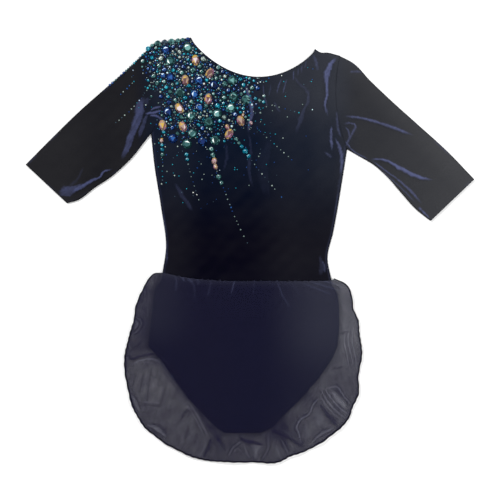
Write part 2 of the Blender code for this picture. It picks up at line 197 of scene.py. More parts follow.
@dataclass(frozen=True)
class Cut:
    """The outline to which the garment is cut, in millimetres, as it lies."""

    underarm_right: Pair = (-148.5, 175.5)
    underarm_left: Pair = (145.5, 151.5)
    shoulder_right: Pair = (-146.0, 309.0)
    shoulder_left: Pair = (135.0, 291.0)
    neck_right: Pair = (-88.5, 318.5)
    neck_left: Pair = (97.5, 301.5)
    armhole_bow_right: float = 20.0
    armhole_bow_left: float = 11.0
    neck_full: float = 0.28
    shoulder_dip: float = 4.2
    dip_place: float = 0.26
    dip_share: float = 0.2
    underarm_row: float = 0.6
    shoulder_columns: Pair = (0.2, 0.9)
    waist: tuple[Pair, ...] = (
        (-131.0, -33.0), (-84.0, -41.0), (-46.0, -44.0), (20.0, -44.5), (122.0, -45.0),
    )
    side_right: tuple[Pair, ...] = (
        (-131.0, -33.0), (-126.0, 2.0), (-133.0, 62.0), (-143.5, 128.0), (-148.5, 175.5),
    )
    side_left: tuple[Pair, ...] = (
        (122.0, -45.0), (116.2, -12.0), (124.8, 27.0), (137.5, 100.0), (145.5, 151.5),
    )
    hem: tuple[Pair, ...] = (
        (-134.0, -35.5), (-141.0, -35.0), (-152.5, -45.0), (-159.5, -58.0), (-165.0, -70.0),
        (-171.5, -86.0), (-173.5, -106.0), (-181.0, -131.0), (-187.5, -155.0),
        (-186.5, -182.0), (-181.5, -214.0), (-172.0, -243.0), (-155.0, -267.0),
        (-120.0, -293.5), (-83.0, -310.0), (-62.0, -316.0), (-34.0, -316.5), (7.0, -318.0),
        (48.0, -315.5), (60.0, -308.5), (88.0, -299.0), (108.0, -287.0), (139.0, -262.0),
        (150.0, -248.0), (153.5, -236.0), (162.0, -213.0), (162.0, -194.0), (167.0, -155.0),
        (163.5, -124.0), (161.0, -104.0), (156.0, -92.0), (151.5, -68.0), (145.0, -53.0),
        (126.0, -43.0),
    )
    hem_waves: int = 17
    hem_wobble: float = 0.6
    hem_rough: float = 0.35
    hem_jags: int = 67
    hem_ease: float = 0.06
    seam_gap: float = 0.6
    skirt_middle: Pair = (-10.0, -150.0)
    brief_top: Row = (-45.0, -135.0, 125.0)
    brief: tuple[Row, ...] = (  # y, right edge's x, left edge's x
        (-60.0, -142.5, 130.5), (-90.0, -146.0, 133.5), (-120.0, -150.0, 133.5),
        (-145.0, -152.0, 131.0), (-163.0, -134.0, 123.0), (-192.0, -115.0, 103.0),
        (-224.0, -91.0, 75.0), (-250.0, -66.0, 48.0), (-266.0, -50.0, 34.0),
        (-274.0, -38.0, 15.0),
    )
    leg_start: float = -145.0
    leg_ease: float = 20.0
    net_step: float = 15.0
    net_fall: float = 16.0

    def neck(self, t: Array, deep: float) -> Array:
        """Points of the neckline.

        Args:
            t: The shares from its right end to its left one.
            deep: How deep it is.

        Returns:
            The x and y of each point.
        """
        t = np.asarray(t, float)
        arc = 1 - (2 * t - 1) ** 2
        drop = (1 - self.neck_full) * arc + self.neck_full * np.sqrt(np.clip(arc, 0, None))
        line = (1 - t)[..., None] * np.array(self.neck_right) + t[..., None] * self.neck_left
        line[..., 1] -= deep * drop
        return line

    def top(self, u: Array, deep: float) -> Array:
        """The bodice's upper edge: right shoulder seam, neckline, left shoulder seam.

        Args:
            u: The shares from its right to its left.
            deep: How deep the neckline is.

        Returns:
            The x and y of each point.
        """
        start, end = self.shoulder_columns
        a = np.clip(u / start, 0, 1)[..., None]
        right = (1 - a) * np.array(self.shoulder_right) + a * np.array(self.neck_right)
        middle = self.neck(np.clip((u - start) / (end - start), 0, 1), deep)
        b = np.clip((u - end) / (1 - end), 0, 1)
        left = (1 - b)[..., None] * np.array(self.neck_left) + b[..., None] * self.shoulder_left
        dip = bell((b - self.dip_place) / self.dip_share) * (1 - b)
        left[..., 1] -= self.shoulder_dip * dip
        u = u[..., None]
        return np.where(u <= start, right, np.where(u <= end, middle, left))

    def side(self, left: bool, v: Array) -> Array:
        """A side of the bodice: the side seam up to the underarm, then the armhole.

        Args:
            left: Whether it is the left one.
            v: The shares from the waist to the shoulder.

        Returns:
            The x and y of each point.
        """
        seam = along(self.side_left if left else self.side_right, np.clip(v / self.underarm_row, 0, 1))
        low = self.underarm_left if left else self.underarm_right
        high = self.shoulder_left if left else self.shoulder_right
        bow = -self.armhole_bow_left if left else self.armhole_bow_right
        share = np.clip((v - self.underarm_row) / (1 - self.underarm_row), 0, 1)
        return np.where((v <= self.underarm_row)[..., None], seam, bowed(low, high, bow, share))

    def bodice(self, u: Array, v: Array, deep: float) -> Array:
        """A patch between the bodice's four edges.

        Args:
            u: The shares from its right side to its left.
            v: The shares from the waist to the neck.
            deep: How deep the neckline is.

        Returns:
            The x and y of each point.
        """
        uu, vv = u[..., None], v[..., None]
        corners = (
            (1 - uu) * (1 - vv) * np.array(self.waist[0])
            + uu * (1 - vv) * np.array(self.waist[-1])
            + (1 - uu) * vv * np.array(self.shoulder_right)
            + uu * vv * np.array(self.shoulder_left)
        )
        return (
            (1 - vv) * along(self.waist, u)
            + vv * self.top(u, deep)
            + (1 - uu) * self.side(False, v)
            + uu * self.side(True, v)
            - corners
        )

    def hem_wave(self, u: Array, phase: float) -> Array:
        """An uneven ripple round the hem.

        Args:
            u: The shares from the hem's right end to its left one.
            phase: How far the ripple is turned.

        Returns:
            Its value at each point, from -1 to 1.
        """
        turn = 2 * math.pi * self.hem_waves * u
        long = np.sin(turn + 1.3 * np.sin(3.1 * turn / self.hem_waves) + phase)
        return 0.65 * long + 0.35 * np.sin(0.62 * turn + 2 * phase)

    def skirt(self, u: Array, v: Array, inset: float, phase: float) -> Array:
        """Points of the skirt.

        Args:
            u: The shares from its right side to its left.
            v: The shares from its waist seam to its hem.
            inset: How far the hem is drawn in.
            phase: How far the hem's ripple is turned.

        Returns:
            The x and y of each point.
        """
        seam = along(self.waist, u) - np.array([0, self.seam_gap])
        edge = along(self.hem, u)
        out = edge - np.array(self.skirt_middle)
        out /= np.linalg.norm(out, axis=-1, keepdims=True)
        ease = smooth(np.minimum(u, 1 - u) / self.hem_ease)
        rough = self.hem_rough * np.sin(2 * math.pi * (self.hem_jags * u + 0.6 * np.sin(43 * u)))
        move = self.hem_wobble * self.hem_wave(u, phase) + rough - inset
        edge = edge + out * (move * ease)[..., None]
        return (1 - v)[..., None] * seam + v[..., None] * edge

    def brief_edges(self, y: Array, cut: float) -> tuple[Array, Array]:
        """The brief's edges at a height.

        Args:
            y: The height.
            cut: How far its legs are cut in.

        Returns:
            The x of its right and of its left edge.
        """
        rows = np.array([self.brief_top, *self.brief])[::-1]
        drawn = smooth((self.leg_start - y) / self.leg_ease) * cut
        right = np.interp(y, rows[:, 0], rows[:, 1]) + drawn
        return right, np.interp(y, rows[:, 0], rows[:, 2]) - drawn

    def beyond_brief(self, x: Array, y: Array) -> Array:
        """How far outside the brief's edge points lie: 0 over the brief."""
        right, left = self.brief_edges(y, 0)
        return np.maximum.reduce([right - x, x - left, self.brief[-1][0] - y, 0 * x])

    def over_brief(self, x: Array, y: Array) -> Array:
        """1 over the brief, falling to 0 outside its edge."""
        return 1 - smooth((self.beyond_brief(x, y) - self.net_step) / self.net_fall)

    def below_waist(self, x: Array, y: Array) -> Array:
        """How far below the waist seam points lie."""
        seam = np.array(self.waist)
        return np.interp(x, seam[:, 0], seam[:, 1]) - y

    def armhole_x(self, y: float) -> float:
        """The right armhole seam at a height.

        Args:
            y: The height.

        Returns:
            The seam's x there.
        """
        low, high = self.underarm_right[1], self.shoulder_right[1]
        share = np.array((y - low) / (high - low))
        return float(bowed(self.underarm_right, self.shoulder_right, self.armhole_bow_right, share)[0])

    def neck_y(self, x: float) -> float:
        """The neckline at an x, or the right shoulder seam beside it.

        Args:
            x: The x.

        Returns:
            The neckline's height there.
        """
        (x0, y0), (x1, y1) = self.shoulder_right, self.neck_right
        if x < x1:
            return float(np.interp(x, [x0, x1], [y0, y1]))
        share = (x - x1) / (self.neck_left[0] - x1)
        return float(self.neck(np.array(share), NECK_DEEP)[1])


@dataclass(frozen=True)
class Crease:
    """One crease: its path as rows of x, y and half width, and its height, all in millimetres."""

    path: tuple[Row, ...]
    high: float
    steps: ClassVar[int] = 40
    waver: ClassVar[float] = 0.28
    past_end: ClassVar[float] = 6.0
    thinnest: ClassVar[float] = 0.5

    def near(self, x: Array, y: Array) -> Array:
        """Finds the points near the crease.

        Args:
            x: The points' x.
            y: The points' y.

        Returns:
            Whether each point is near.
        """
        path = np.array(self.path)
        reach = 4 * path[:, 2].max() + 4
        low, high = path[:, :2].min(axis=0) - reach, path[:, :2].max(axis=0) + reach
        return (x > low[0]) & (x < high[0]) & (y > low[1]) & (y < high[1])

    def across(self, x: Array, y: Array, seed: int) -> tuple[Array, Array, Array]:
        """Where points lie by the crease, whose edges waver a little.

        Args:
            x: The points' x.
            y: The points' y.
            seed: The number that its wavering is drawn from.

        Returns:
            The signed distance across it in half widths, the share along it, and the half width.
        """
        line = along(self.path, np.linspace(0, 1, self.steps))
        ahead = np.gradient(line[:, :2], axis=0)
        step = np.linalg.norm(ahead, axis=1)
        ahead /= step[:, None]
        near = ((x[:, None] - line[:, 0]) ** 2 + (y[:, None] - line[:, 1]) ** 2).argmin(axis=1)
        dx, dy = x - line[near, 0], y - line[near, 1]
        on = dx * ahead[near, 0] + dy * ahead[near, 1]
        off = dy * ahead[near, 0] - dx * ahead[near, 1]
        wide = np.maximum(line[near, 2], self.thinnest)
        mean = float(np.mean([row[2] for row in self.path]))
        off = off / wide + self.waver * uneven(x, y, 5 * mean + 3, seed)
        share = (near + np.clip(on / step[near], -self.past_end, self.past_end)) / (self.steps - 1)
        return off, share, wide

    def taper(self, share: Array, start: float, end: float, least: float) -> Array:
        """How the crease comes in over its start and goes out over its end, by the share along it."""
        return smooth(share / start + least) * smooth((1 - share) / end + least)


@dataclass(frozen=True)
class Fold(Crease):
    """A crease of the velvet, and the painted sheen of its nap: how bright it is, and how far it leans to
    one side.
    """

    shine: float = 0.0
    lean: float = 0.15

    def lay(self, x: Array, y: Array, seed: int) -> tuple[Array, Array]:
        """Its height and its painted sheen.

        Args:
            x: The x of points near it.
            y: The points' y.
            seed: The number that its unevenness is drawn from.

        Returns:
            The height and the painted sheen at each point.
        """
        off, share, wide = self.across(x, y, seed)
        taper = self.taper(share, 0.16, 0.2, 0.1)
        lift = self.high * bell(off / 1.15) * taper
        # The lit side of the crease, leaning to one side and patchy like crushed nap, is a painted sheen.
        side = off - self.lean + 0.13 * uneven(x, y, 5.0, seed + 90)
        lit = smooth((1.05 - side) / 0.35) * smooth((1.25 + side) / 0.65)
        patchy = 0.88 + 0.2 * uneven(x, y, 2.2 * float(np.mean(wide)) + 3, seed + 50)
        patchy = patchy + 0.14 * uneven(off * wide, 14 * share, 4.0, seed + 70)
        return lift, self.shine * lit * taper * patchy


@dataclass(frozen=True)
class Pleat(Crease):
    """A crease of the net: how much darker its sides are, and how much lighter the painted sheen along
    its ridge is.
    """

    dark: float = 0.0
    # How much lighter the painted sheen along the ridge is.
    light: float = 0.0

    def lay(self, x: Array, y: Array, seed: int) -> tuple[Array, Array]:
        """Its height and its shade.

        Args:
            x: The x of points near it.
            y: The points' y.
            seed: The number that its unevenness is drawn from.

        Returns:
            The height and the shade at each point, which is above 0 where it is dark and below 0 where
            its ridge has a painted sheen.
        """
        off, share, _ = self.across(x, y, seed)
        taper = self.taper(share, 0.15, 0.2, 0.15)
        lift = self.high * bell(off) * taper
        # The lighter ridge is a painted sheen.
        crest_sheen = self.light * bell(off / 0.85)
        sides = bell((np.abs(off) - 1.7) / 0.7) if self.light else bell(off)
        return lift, (self.dark * sides - crest_sheen) * taper


@dataclass
class CreaseField:
    """All the creases of one cloth."""

    creases: list[Fold] | list[Pleat]

    def lay(self, x: Array, y: Array) -> tuple[Array, Array]:
        """The creases' height, and their painted sheen or their shade, at points.

        Args:
            x: The points' x, in any shape.
            y: The points' y.

        Returns:
            The height in millimetres, and the strongest painted sheen or shade.
        """
        shape = x.shape
        x, y = x.ravel(), y.ravel()
        lift, shade = np.zeros_like(x), np.zeros_like(x)
        for number, crease in enumerate(self.creases):
            near = crease.near(x, y)
            if near.any():
                high, tone = crease.lay(x[near], y[near], number + 1)
                lift[near] += high
                shade[near] = np.where(np.abs(tone) > np.abs(shade[near]), tone, shade[near])
        return lift.reshape(shape), np.clip(shade, -1, 1).reshape(shape)


CUT = Cut()
NECK_DEEP = 50.0
NECK_DEEP_BACK = 56.0

SLEEVE_RIGHT = (  # top edge x, y, underarm edge x, y, and the section's bow
    (*CUT.shoulder_right, *CUT.underarm_right, CUT.armhole_bow_right),
    (-165.0, 289.0, -160.0, 160.0, 14.0),
    (-191.0, 264.5, -178.5, 136.5, 8.0),
    (-217.0, 242.0, -203.0, 113.5, 4.0),
    (-257.0, 206.5, -232.0, 93.5, 0.0),
    (-297.0, 167.5, -255.0, 76.0, 0.0),
    (-336.0, 128.0, -274.0, 70.0, 0.0),
)
SLEEVE_LEFT = (
    (*CUT.shoulder_left, *CUT.underarm_left, -CUT.armhole_bow_left),
    (154.5, 280.5, 162.0, 141.5, -8.0),
    (180.0, 254.0, 184.0, 128.5, -4.0),
    (213.0, 222.5, 205.5, 109.5, -2.0),
    (252.0, 187.5, 226.0, 86.0, 0.0),
    (295.0, 148.5, 247.0, 62.5, 0.0),
    (336.0, 106.0, 270.5, 43.5, 0.0),
)

VELVET_FOLDS = [  # rows of x, y and half width, then the height and the painted sheen
    # right sleeve
    Fold(((-158, 230, 1.2), (-165, 214, 7.0), (-168, 199, 6.0), (-176, 178, 5.5), (-183, 155, 4.8),
          (-192, 135, 1.8)), 4.2, 0.72),
    Fold(((-153, 204, 1.2), (-159, 190, 3.0), (-164, 176, 2.8), (-166, 167, 1.2)), 2.2, 0.42),
    Fold(((-157, 204, 1.1), (-146, 205, 1.7), (-138, 207, 1.5), (-131, 209, 1.0)), 1.4, 1.5),
    Fold(((-150, 201, 1.0), (-142, 201, 1.5), (-136, 198, 1.4), (-130, 194, 0.9)), 1.2, 1.3),
    Fold(((-149, 209, 0.8), (-141, 213, 1.4), (-133, 215, 1.0)), 0.8, 1.1),
    Fold(((-206, 121, 0.8), (-219, 116, 1.6), (-225, 108, 1.4), (-237, 103, 2.5), (-248, 96, 2.8),
          (-260, 89, 3.0), (-270, 82, 2.0)), 3.2, 1.0, -0.2),
    Fold(((-250, 99, 1.2), (-264, 91, 4.5), (-275, 87, 7.5), (-287, 85, 4.5)), 1.6, 0.52, 0.0),
    Fold(((-250, 124, 1.2), (-259, 105, 2.0), (-273, 94, 1.5)), 0.6, 0.12),
    Fold(((-152, 228, 1.0), (-157, 221, 5.0), (-162, 215, 2.5)), 0.6, 0.22),
    # left sleeve
    Fold(((141, 200, 0.8), (161, 198, 1.5), (180, 194, 1.7), (202, 187, 1.9), (224, 179, 2.2),
          (246, 171, 0.8)), 3.0, 0.8),
    Fold(((140, 188, 0.8), (149, 190, 1.1), (157, 187, 1.3), (152, 173, 1.3), (146, 162, 1.1),
          (142, 154, 0.8)), 1.2, 0.6),
    Fold(((143, 184, 0.8), (148, 176, 1.1), (148, 166, 0.8)), 0.8, 0.5),
    Fold(((143, 162, 0.9), (146, 158, 1.5), (151, 152, 0.9)), 0.8, 0.6),
    Fold(((179, 136, 0.8), (202, 134, 1.5), (221, 124, 2.6), (240, 114, 2.8), (258, 107, 2.2),
          (274, 105, 0.8)), 3.2, 1.1),
    Fold(((147, 154, 0.8), (161, 144, 1.1), (177, 136, 0.8)), 0.8, 0.55),
    Fold(((182, 134, 0.8), (202, 119, 1.1), (225, 102, 1.3), (244, 84, 1.8), (257, 69, 1.2)), 1.8, 0.6),
    Fold(((190, 124, 0.7), (210, 107, 0.9), (232, 87, 1.0), (248, 70, 0.8)), 0.8, 0.4),
    Fold(((252, 64, 1.1), (262, 54, 1.5), (269, 47, 1.1)), 1.0, 0.75),
    Fold(((149, 266, 0.9), (158, 267, 1.5), (168, 266, 0.8)), 0.8, 0.42),
    # bodice, by the left armhole
    Fold(((130, 289, 0.9), (120, 278, 3.2), (114, 264, 3.9), (114, 248, 2.2), (115, 232, 1.7),
          (112, 219, 1.7), (116, 200, 0.8)), 3.8, 1.0, 0.3),
    Fold(((94, 292, 1.1), (99, 280, 2.1), (101, 268, 1.1)), 1.5, 0.32),
    Fold(((122, 186, 0.9), (121, 169, 2.2), (123, 149, 1.1)), 2.0, 0.75),
    Fold(((130, 208, 0.9), (131, 186, 1.7), (136, 168, 1.1)), 1.6, 0.36),
    Fold(((127, 168, 1.1), (134, 152, 2.2), (137, 131, 2.2), (135, 112, 1.1)), 2.6, 0.75),
    Fold(((112, 147, 1.1), (117, 142, 1.7), (123, 138, 1.1)), 0.8, 0.28),
    Fold(((134, 109, 0.6), (130, 79, 0.8), (126, 45, 0.6)), 0.5, 0.3),
    Fold(((104, -8, 1.5), (106, -24, 3.4), (106, -38, 2.0)), 1.2, 0.13),
    Fold(((108, -16, 1.0), (111, -24, 1.6), (112, -34, 1.0)), 1.0, 0.34),
    # bodice, middle and right
    Fold(((-7, 248, 1.0), (-4, 236, 2.6), (0, 222, 3.4), (3, 206, 2.6), (-1, 190, 2.4),
          (-2, 176, 1.6)), 2.6, 0.9),
    Fold(((-2, 176, 1.2), (1, 150, 2.0), (-2, 120, 2.4), (4, 94, 1.4)), 1.0, 0.16),
    Fold(((64, 262, 1.1), (73, 249, 1.5), (86, 236, 2.2), (87, 224, 2.2), (80, 209, 2.2),
          (74, 191, 3.4), (68, 174, 1.9)), 2.0, 0.19),
    Fold(((19, 248, 0.8), (21, 232, 1.2), (26, 214, 0.9)), 1.1, 0.4),
    Fold(((47, 256, 0.7), (43, 246, 1.1), (40, 234, 0.8)), 0.9, 0.5),
    Fold(((55, 256, 0.7), (52, 246, 1.0), (49, 234, 0.8)), 0.9, 0.48),
    Fold(((65, 268, 0.7), (65, 261, 1.0), (65, 254, 0.7)), 0.9, 0.6),
    Fold(((73, 273, 0.6), (72, 267, 0.9), (71, 261, 0.6)), 0.7, 0.3),
    Fold(((78, 277, 0.6), (77, 271, 0.9), (77, 265, 0.6)), 0.7, 0.28),
    Fold(((84, 283, 0.6), (83, 278, 0.9), (82, 272, 0.6)), 0.6, 0.25),
    Fold(((31, 248, 0.6), (30, 240, 1.0), (28, 230, 0.7)), 0.7, 0.22),
    Fold(((36, 222, 0.8), (40, 213, 1.4), (46, 206, 0.9)), 0.6, 0.25),
    Fold(((-36, 160, 1.2), (-35, 140, 2.0), (-40, 118, 1.2)), 0.8, 0.14),
    Fold(((-131, 58, 1.0), (-127, 20, 1.5), (-124, -22, 1.0)), 1.0, 0.55),
    Fold(((-113, 100, 1.6), (-101, 80, 3.0), (-86, 58, 1.8)), 1.8, 0.22),
    Fold(((30, 168, 5.0), (18, 128, 9.0), (26, 74, 5.0)), 1.6, 0.04),
]
PLEATS = [  # rows of x, y and half width, then the height, how dark, and how light the painted sheen on the ridge is
    # lower right of the skirt
    Pleat(((-184, -148, 1.5), (-179, -162, 2.2), (-166, -160, 2.2), (-150, -156, 2.2),
           (-136, -158, 2.6), (-122, -172, 3.0), (-104, -198, 1.8)), 2.2, 0.55),
    Pleat(((-178, -171, 0.7), (-168, -167, 1.2), (-150, -163, 1.3), (-138, -165, 1.1),
           (-126, -178, 1.0), (-110, -197, 0.7)), 0.4, 0.0, 0.7),
    Pleat(((-172, -171, 0.8), (-160, -169, 1.2), (-142, -168, 1.2)), 0.0, 0.0, 0.3),
    Pleat(((-159, -183, 1.1), (-163, -201, 1.9), (-166, -219, 1.1)), 0.5, 0.26),
    Pleat(((-154, -176, 0.8), (-156, -198, 1.4), (-161, -225, 0.8)), 0.6, 0.0, 0.15),
    Pleat(((-147, -175, 1.1), (-151, -199, 2.0), (-155, -229, 1.2)), 0.5, 0.30),
    Pleat(((-141, -184, 0.8), (-144, -200, 1.4), (-148, -215, 0.8)), 0.6, 0.0, 0.13),
    Pleat(((-172, -186, 0.9), (-175, -200, 1.4), (-177, -214, 0.9)), 0.4, 0.18),
    Pleat(((-132, -186, 0.9), (-137, -198, 1.4), (-139, -212, 0.9)), 0.4, 0.14),
    Pleat(((-138, -165, 1.0), (-121, -189, 1.3), (-98, -219, 1.3), (-82, -240, 1.0)), 0.5, 0.3, 0.3),
    Pleat(((-162, -231, 1.2), (-147, -232, 2.0), (-130, -234, 1.2)), 0.5, 0.24),
    Pleat(((-160, -227, 0.8), (-147, -228, 1.2), (-134, -229, 0.8)), 0.0, 0.0, 0.25),
    Pleat(((-126, -205, 1.2), (-131, -219, 2.6), (-135, -236, 1.2)), 0.4, 0.2),
    Pleat(((-112, -212, 0.9), (-118, -232, 1.5), (-120, -250, 0.9)), 0.4, 0.12),
    Pleat(((-104, -257, 1.2), (-95, -241, 2.2), (-76, -242, 1.6)), 1.0, 0.36),
    Pleat(((-100, -236, 0.8), (-90, -235, 1.3), (-76, -237, 0.8)), 0.0, 0.0, 0.3),
    Pleat(((-92, -264, 1.2), (-94, -276, 2.4), (-99, -286, 1.2)), 0.4, 0.24),
    Pleat(((-81, -273, 1.2), (-81, -282, 2.2), (-84, -291, 1.2)), 0.4, 0.22),
    Pleat(((-108, -207, 0.8), (-94, -225, 1.3), (-81, -243, 1.6), (-70, -264, 1.6),
           (-62, -282, 1.1)), 1.2, 0.3, 0.42),
    Pleat(((-100, -222, 0.8), (-88, -240, 1.2), (-76, -262, 1.4), (-68, -284, 1.0)), 0.6, 0.2, 0.3),
    Pleat(((-58, -280, 1.3), (-62, -294, 2.6), (-70, -312, 1.8)), 2.6, 0.55),
    Pleat(((-64, -282, 0.8), (-69, -296, 1.3), (-76, -311, 0.9)), 0.0, 0.0, 0.4),
    Pleat(((-78, -231, 2.0), (-65, -259, 5.0), (-50, -277, 5.0), (-38, -298, 2.2)), 1.4, 0.46),
    Pleat(((-56, -276, 0.8), (-46, -290, 1.2), (-44, -306, 0.8)), 0.6, 0.1, 0.3),
    Pleat(((-178, -216, 1.2), (-170, -231, 2.4), (-164, -244, 1.2)), 1.2, 0.3, 0.4),
    Pleat(((-153, -262, 1.2), (-138, -268, 3.0), (-126, -280, 1.8)), 1.4, 0.3, 0.45),
    # bottom
    Pleat(((-33, -309, 1.2), (-24, -294, 1.6), (-6, -282, 1.2)), 1.2, 0.4, 0.3),
    Pleat(((-28, -308, 1.0), (-18, -297, 1.4), (-9, -308, 1.0)), 0.8, 0.3, 0.2),
    Pleat(((-17, -277, 1.6), (-8, -285, 2.9), (8, -288, 2.5), (21, -291, 1.3)), 2.2, 0.68),
    Pleat(((10, -291, 8.0), (9, -301, 5.0), (8, -313, 1.4)), 0.8, 0.0, 0.42),
    Pleat(((-9, -292, 1.0), (-5, -303, 1.6), (0, -314, 1.0)), 0.8, 0.3, 0.35),
    Pleat(((27, -276, 1.2), (27, -296, 1.7), (18, -314, 1.2)), 1.4, 0.35, 0.2),
    Pleat(((38, -292, 1.5), (42, -302, 3.5), (46, -311, 2.0)), 0.4, 0.0, 0.2),
    Pleat(((44, -279, 1.0), (52, -294, 1.7), (58, -306, 1.0)), 1.4, 0.4, 0.3),
    # lower left of the skirt
    Pleat(((104, -222, 1.0), (94, -232, 1.2), (90, -243, 1.2), (75, -255, 1.3), (70, -264, 1.4),
           (74, -278, 1.4), (76, -288, 1.0)), 2.4, 0.5, 0.95),
    Pleat(((30, -267, 1.2), (51, -278, 1.8), (66, -285, 1.8), (76, -292, 1.8), (82, -282, 1.0)),
          1.6, 0.55),
    Pleat(((34, -262, 0.8), (54, -272, 1.2), (66, -278, 1.2)), 0.6, 0.2, 0.3),
    Pleat(((112, -208, 0.9), (120, -220, 1.2), (134, -236, 1.2), (148, -247, 0.9)), 1.8, 0.4, 0.9),
    Pleat(((106, -209, 0.9), (114, -223, 1.2), (128, -240, 1.2), (144, -253, 0.9)), 1.2, 0.45, 0.7),
    Pleat(((104, -216, 0.8), (112, -230, 1.1), (124, -244, 1.1), (138, -256, 0.8)), 0.8, 0.3, 0.4),
    Pleat(((112, -208, 0.9), (130, -205, 1.2), (141, -220, 1.3), (152, -232, 0.9)), 1.6, 0.4, 0.75),
    Pleat(((122, -211, 2.5), (133, -224, 5.2), (144, -237, 2.5)), 1.0, 0.42, 0.6),
    Pleat(((104, -229, 1.2), (115, -245, 2.8), (125, -256, 3.6), (131, -265, 2.2)), 1.6, 0.62),
    Pleat(((100, -237, 1.5), (102, -250, 6.0), (106, -263, 9.0)), 0.4, 0.0, 0.26),
    Pleat(((84, -262, 1.5), (86, -272, 5.0), (84, -284, 3.0)), 0.4, 0.0, 0.2),
    Pleat(((92, -288, 1.2), (106, -276, 2.0), (126, -266, 1.2)), 1.2, 0.5, 0.6),
    # gathers under the waist seam
    Pleat(((-112, -38, 0.9), (-110, -50, 1.5), (-112, -64, 1.1)), 0.7, 0.1, 0.34),
    Pleat(((-88, -42, 0.9), (-84, -54, 1.5), (-82, -74, 1.1)), 0.7, 0.1, 0.30),
    Pleat(((-58, -44, 0.9), (-60, -56, 1.4), (-64, -72, 1.1)), 0.6, 0.1, 0.28),
    Pleat(((-104, -36, 1.0), (-101, -41, 1.4), (-98, -48, 1.0)), 0.4, 0.0, 0.7),
    Pleat(((-95, -38, 1.0), (-91, -44, 1.4), (-86, -50, 1.0)), 0.4, 0.0, 0.6),
    Pleat(((-80, -41, 1.0), (-78, -47, 1.3), (-77, -53, 1.0)), 0.4, 0.0, 0.5),
    Pleat(((6, -45, 1.0), (6, -53, 1.4), (5, -66, 1.0)), 0.4, 0.1, 0.22),
    Pleat(((60, -47, 1.0), (68, -58, 1.5), (80, -74, 1.0)), 0.6, 0.1, 0.16),
    Pleat(((78, -50, 1.0), (98, -57, 1.5), (124, -68, 1.1)), 0.7, 0.1, 0.36),
    Pleat(((92, -48, 1.0), (112, -54, 1.6), (138, -62, 1.2)), 0.7, 0.15, 0.42),
    Pleat(((-183, -98, 0.8), (-184, -122, 1.2), (-180, -148, 0.8)), 0.5, 0.25, 0.5),
    # left side, right side and waist
    Pleat(((143, -117, 0.8), (141, -138, 1.1), (145, -156, 1.1), (149, -177, 0.8)), 0.6, 0.25, 0.4),
    Pleat(((149, -112, 0.8), (147, -138, 1.1), (151, -156, 1.1), (155, -176, 0.8)), 0.6, 0.25, 0.4),
    Pleat(((155, -110, 0.8), (153, -138, 1.1), (157, -156, 1.1), (160, -182, 0.8)), 0.6, 0.2, 0.35),
    Pleat(((130, -126, 1.2), (141, -123, 2.1), (153, -122, 1.2)), 0.6, 0.4),
    Pleat(((122, -177, 1.2), (132, -176, 2.1), (144, -174, 1.2)), 0.6, 0.35),
    Pleat(((-174, -63, 1.2), (-176, -93, 1.8), (-178, -123, 1.5)), 0.8, 0.4, 0.4),
    Pleat(((-170, -42, 1.2), (-162, -51, 2.1), (-156, -69, 1.5)), 1.0, 0.4, 0.3),
    Pleat(((108, -46, 1.0), (124, -50, 1.4), (142, -57, 1.0)), 0.6, 0.1, 0.5),
    Pleat(((84, -62, 0.9), (105, -72, 1.5), (130, -78, 1.0)), 0.6, 0.3, 0.1),
    Pleat(((-22, -44, 1.0), (-25, -53, 1.7), (-28, -66, 1.0)), 0.8, 0.2, 0.55),
    Pleat(((41, -46, 1.0), (46, -62, 1.7), (60, -88, 1.2)), 0.8, 0.2, 0.36),
    Pleat(((-172, -100, 1.0), (-163, -106, 1.6), (-166, -118, 1.4), (-178, -128, 1.0)), 0.8, 0.4, 0.2),
    Pleat(((-176, -103, 1.0), (-169, -108, 1.5), (-172, -118, 1.2)), 0.4, 0.0, 0.6),
]


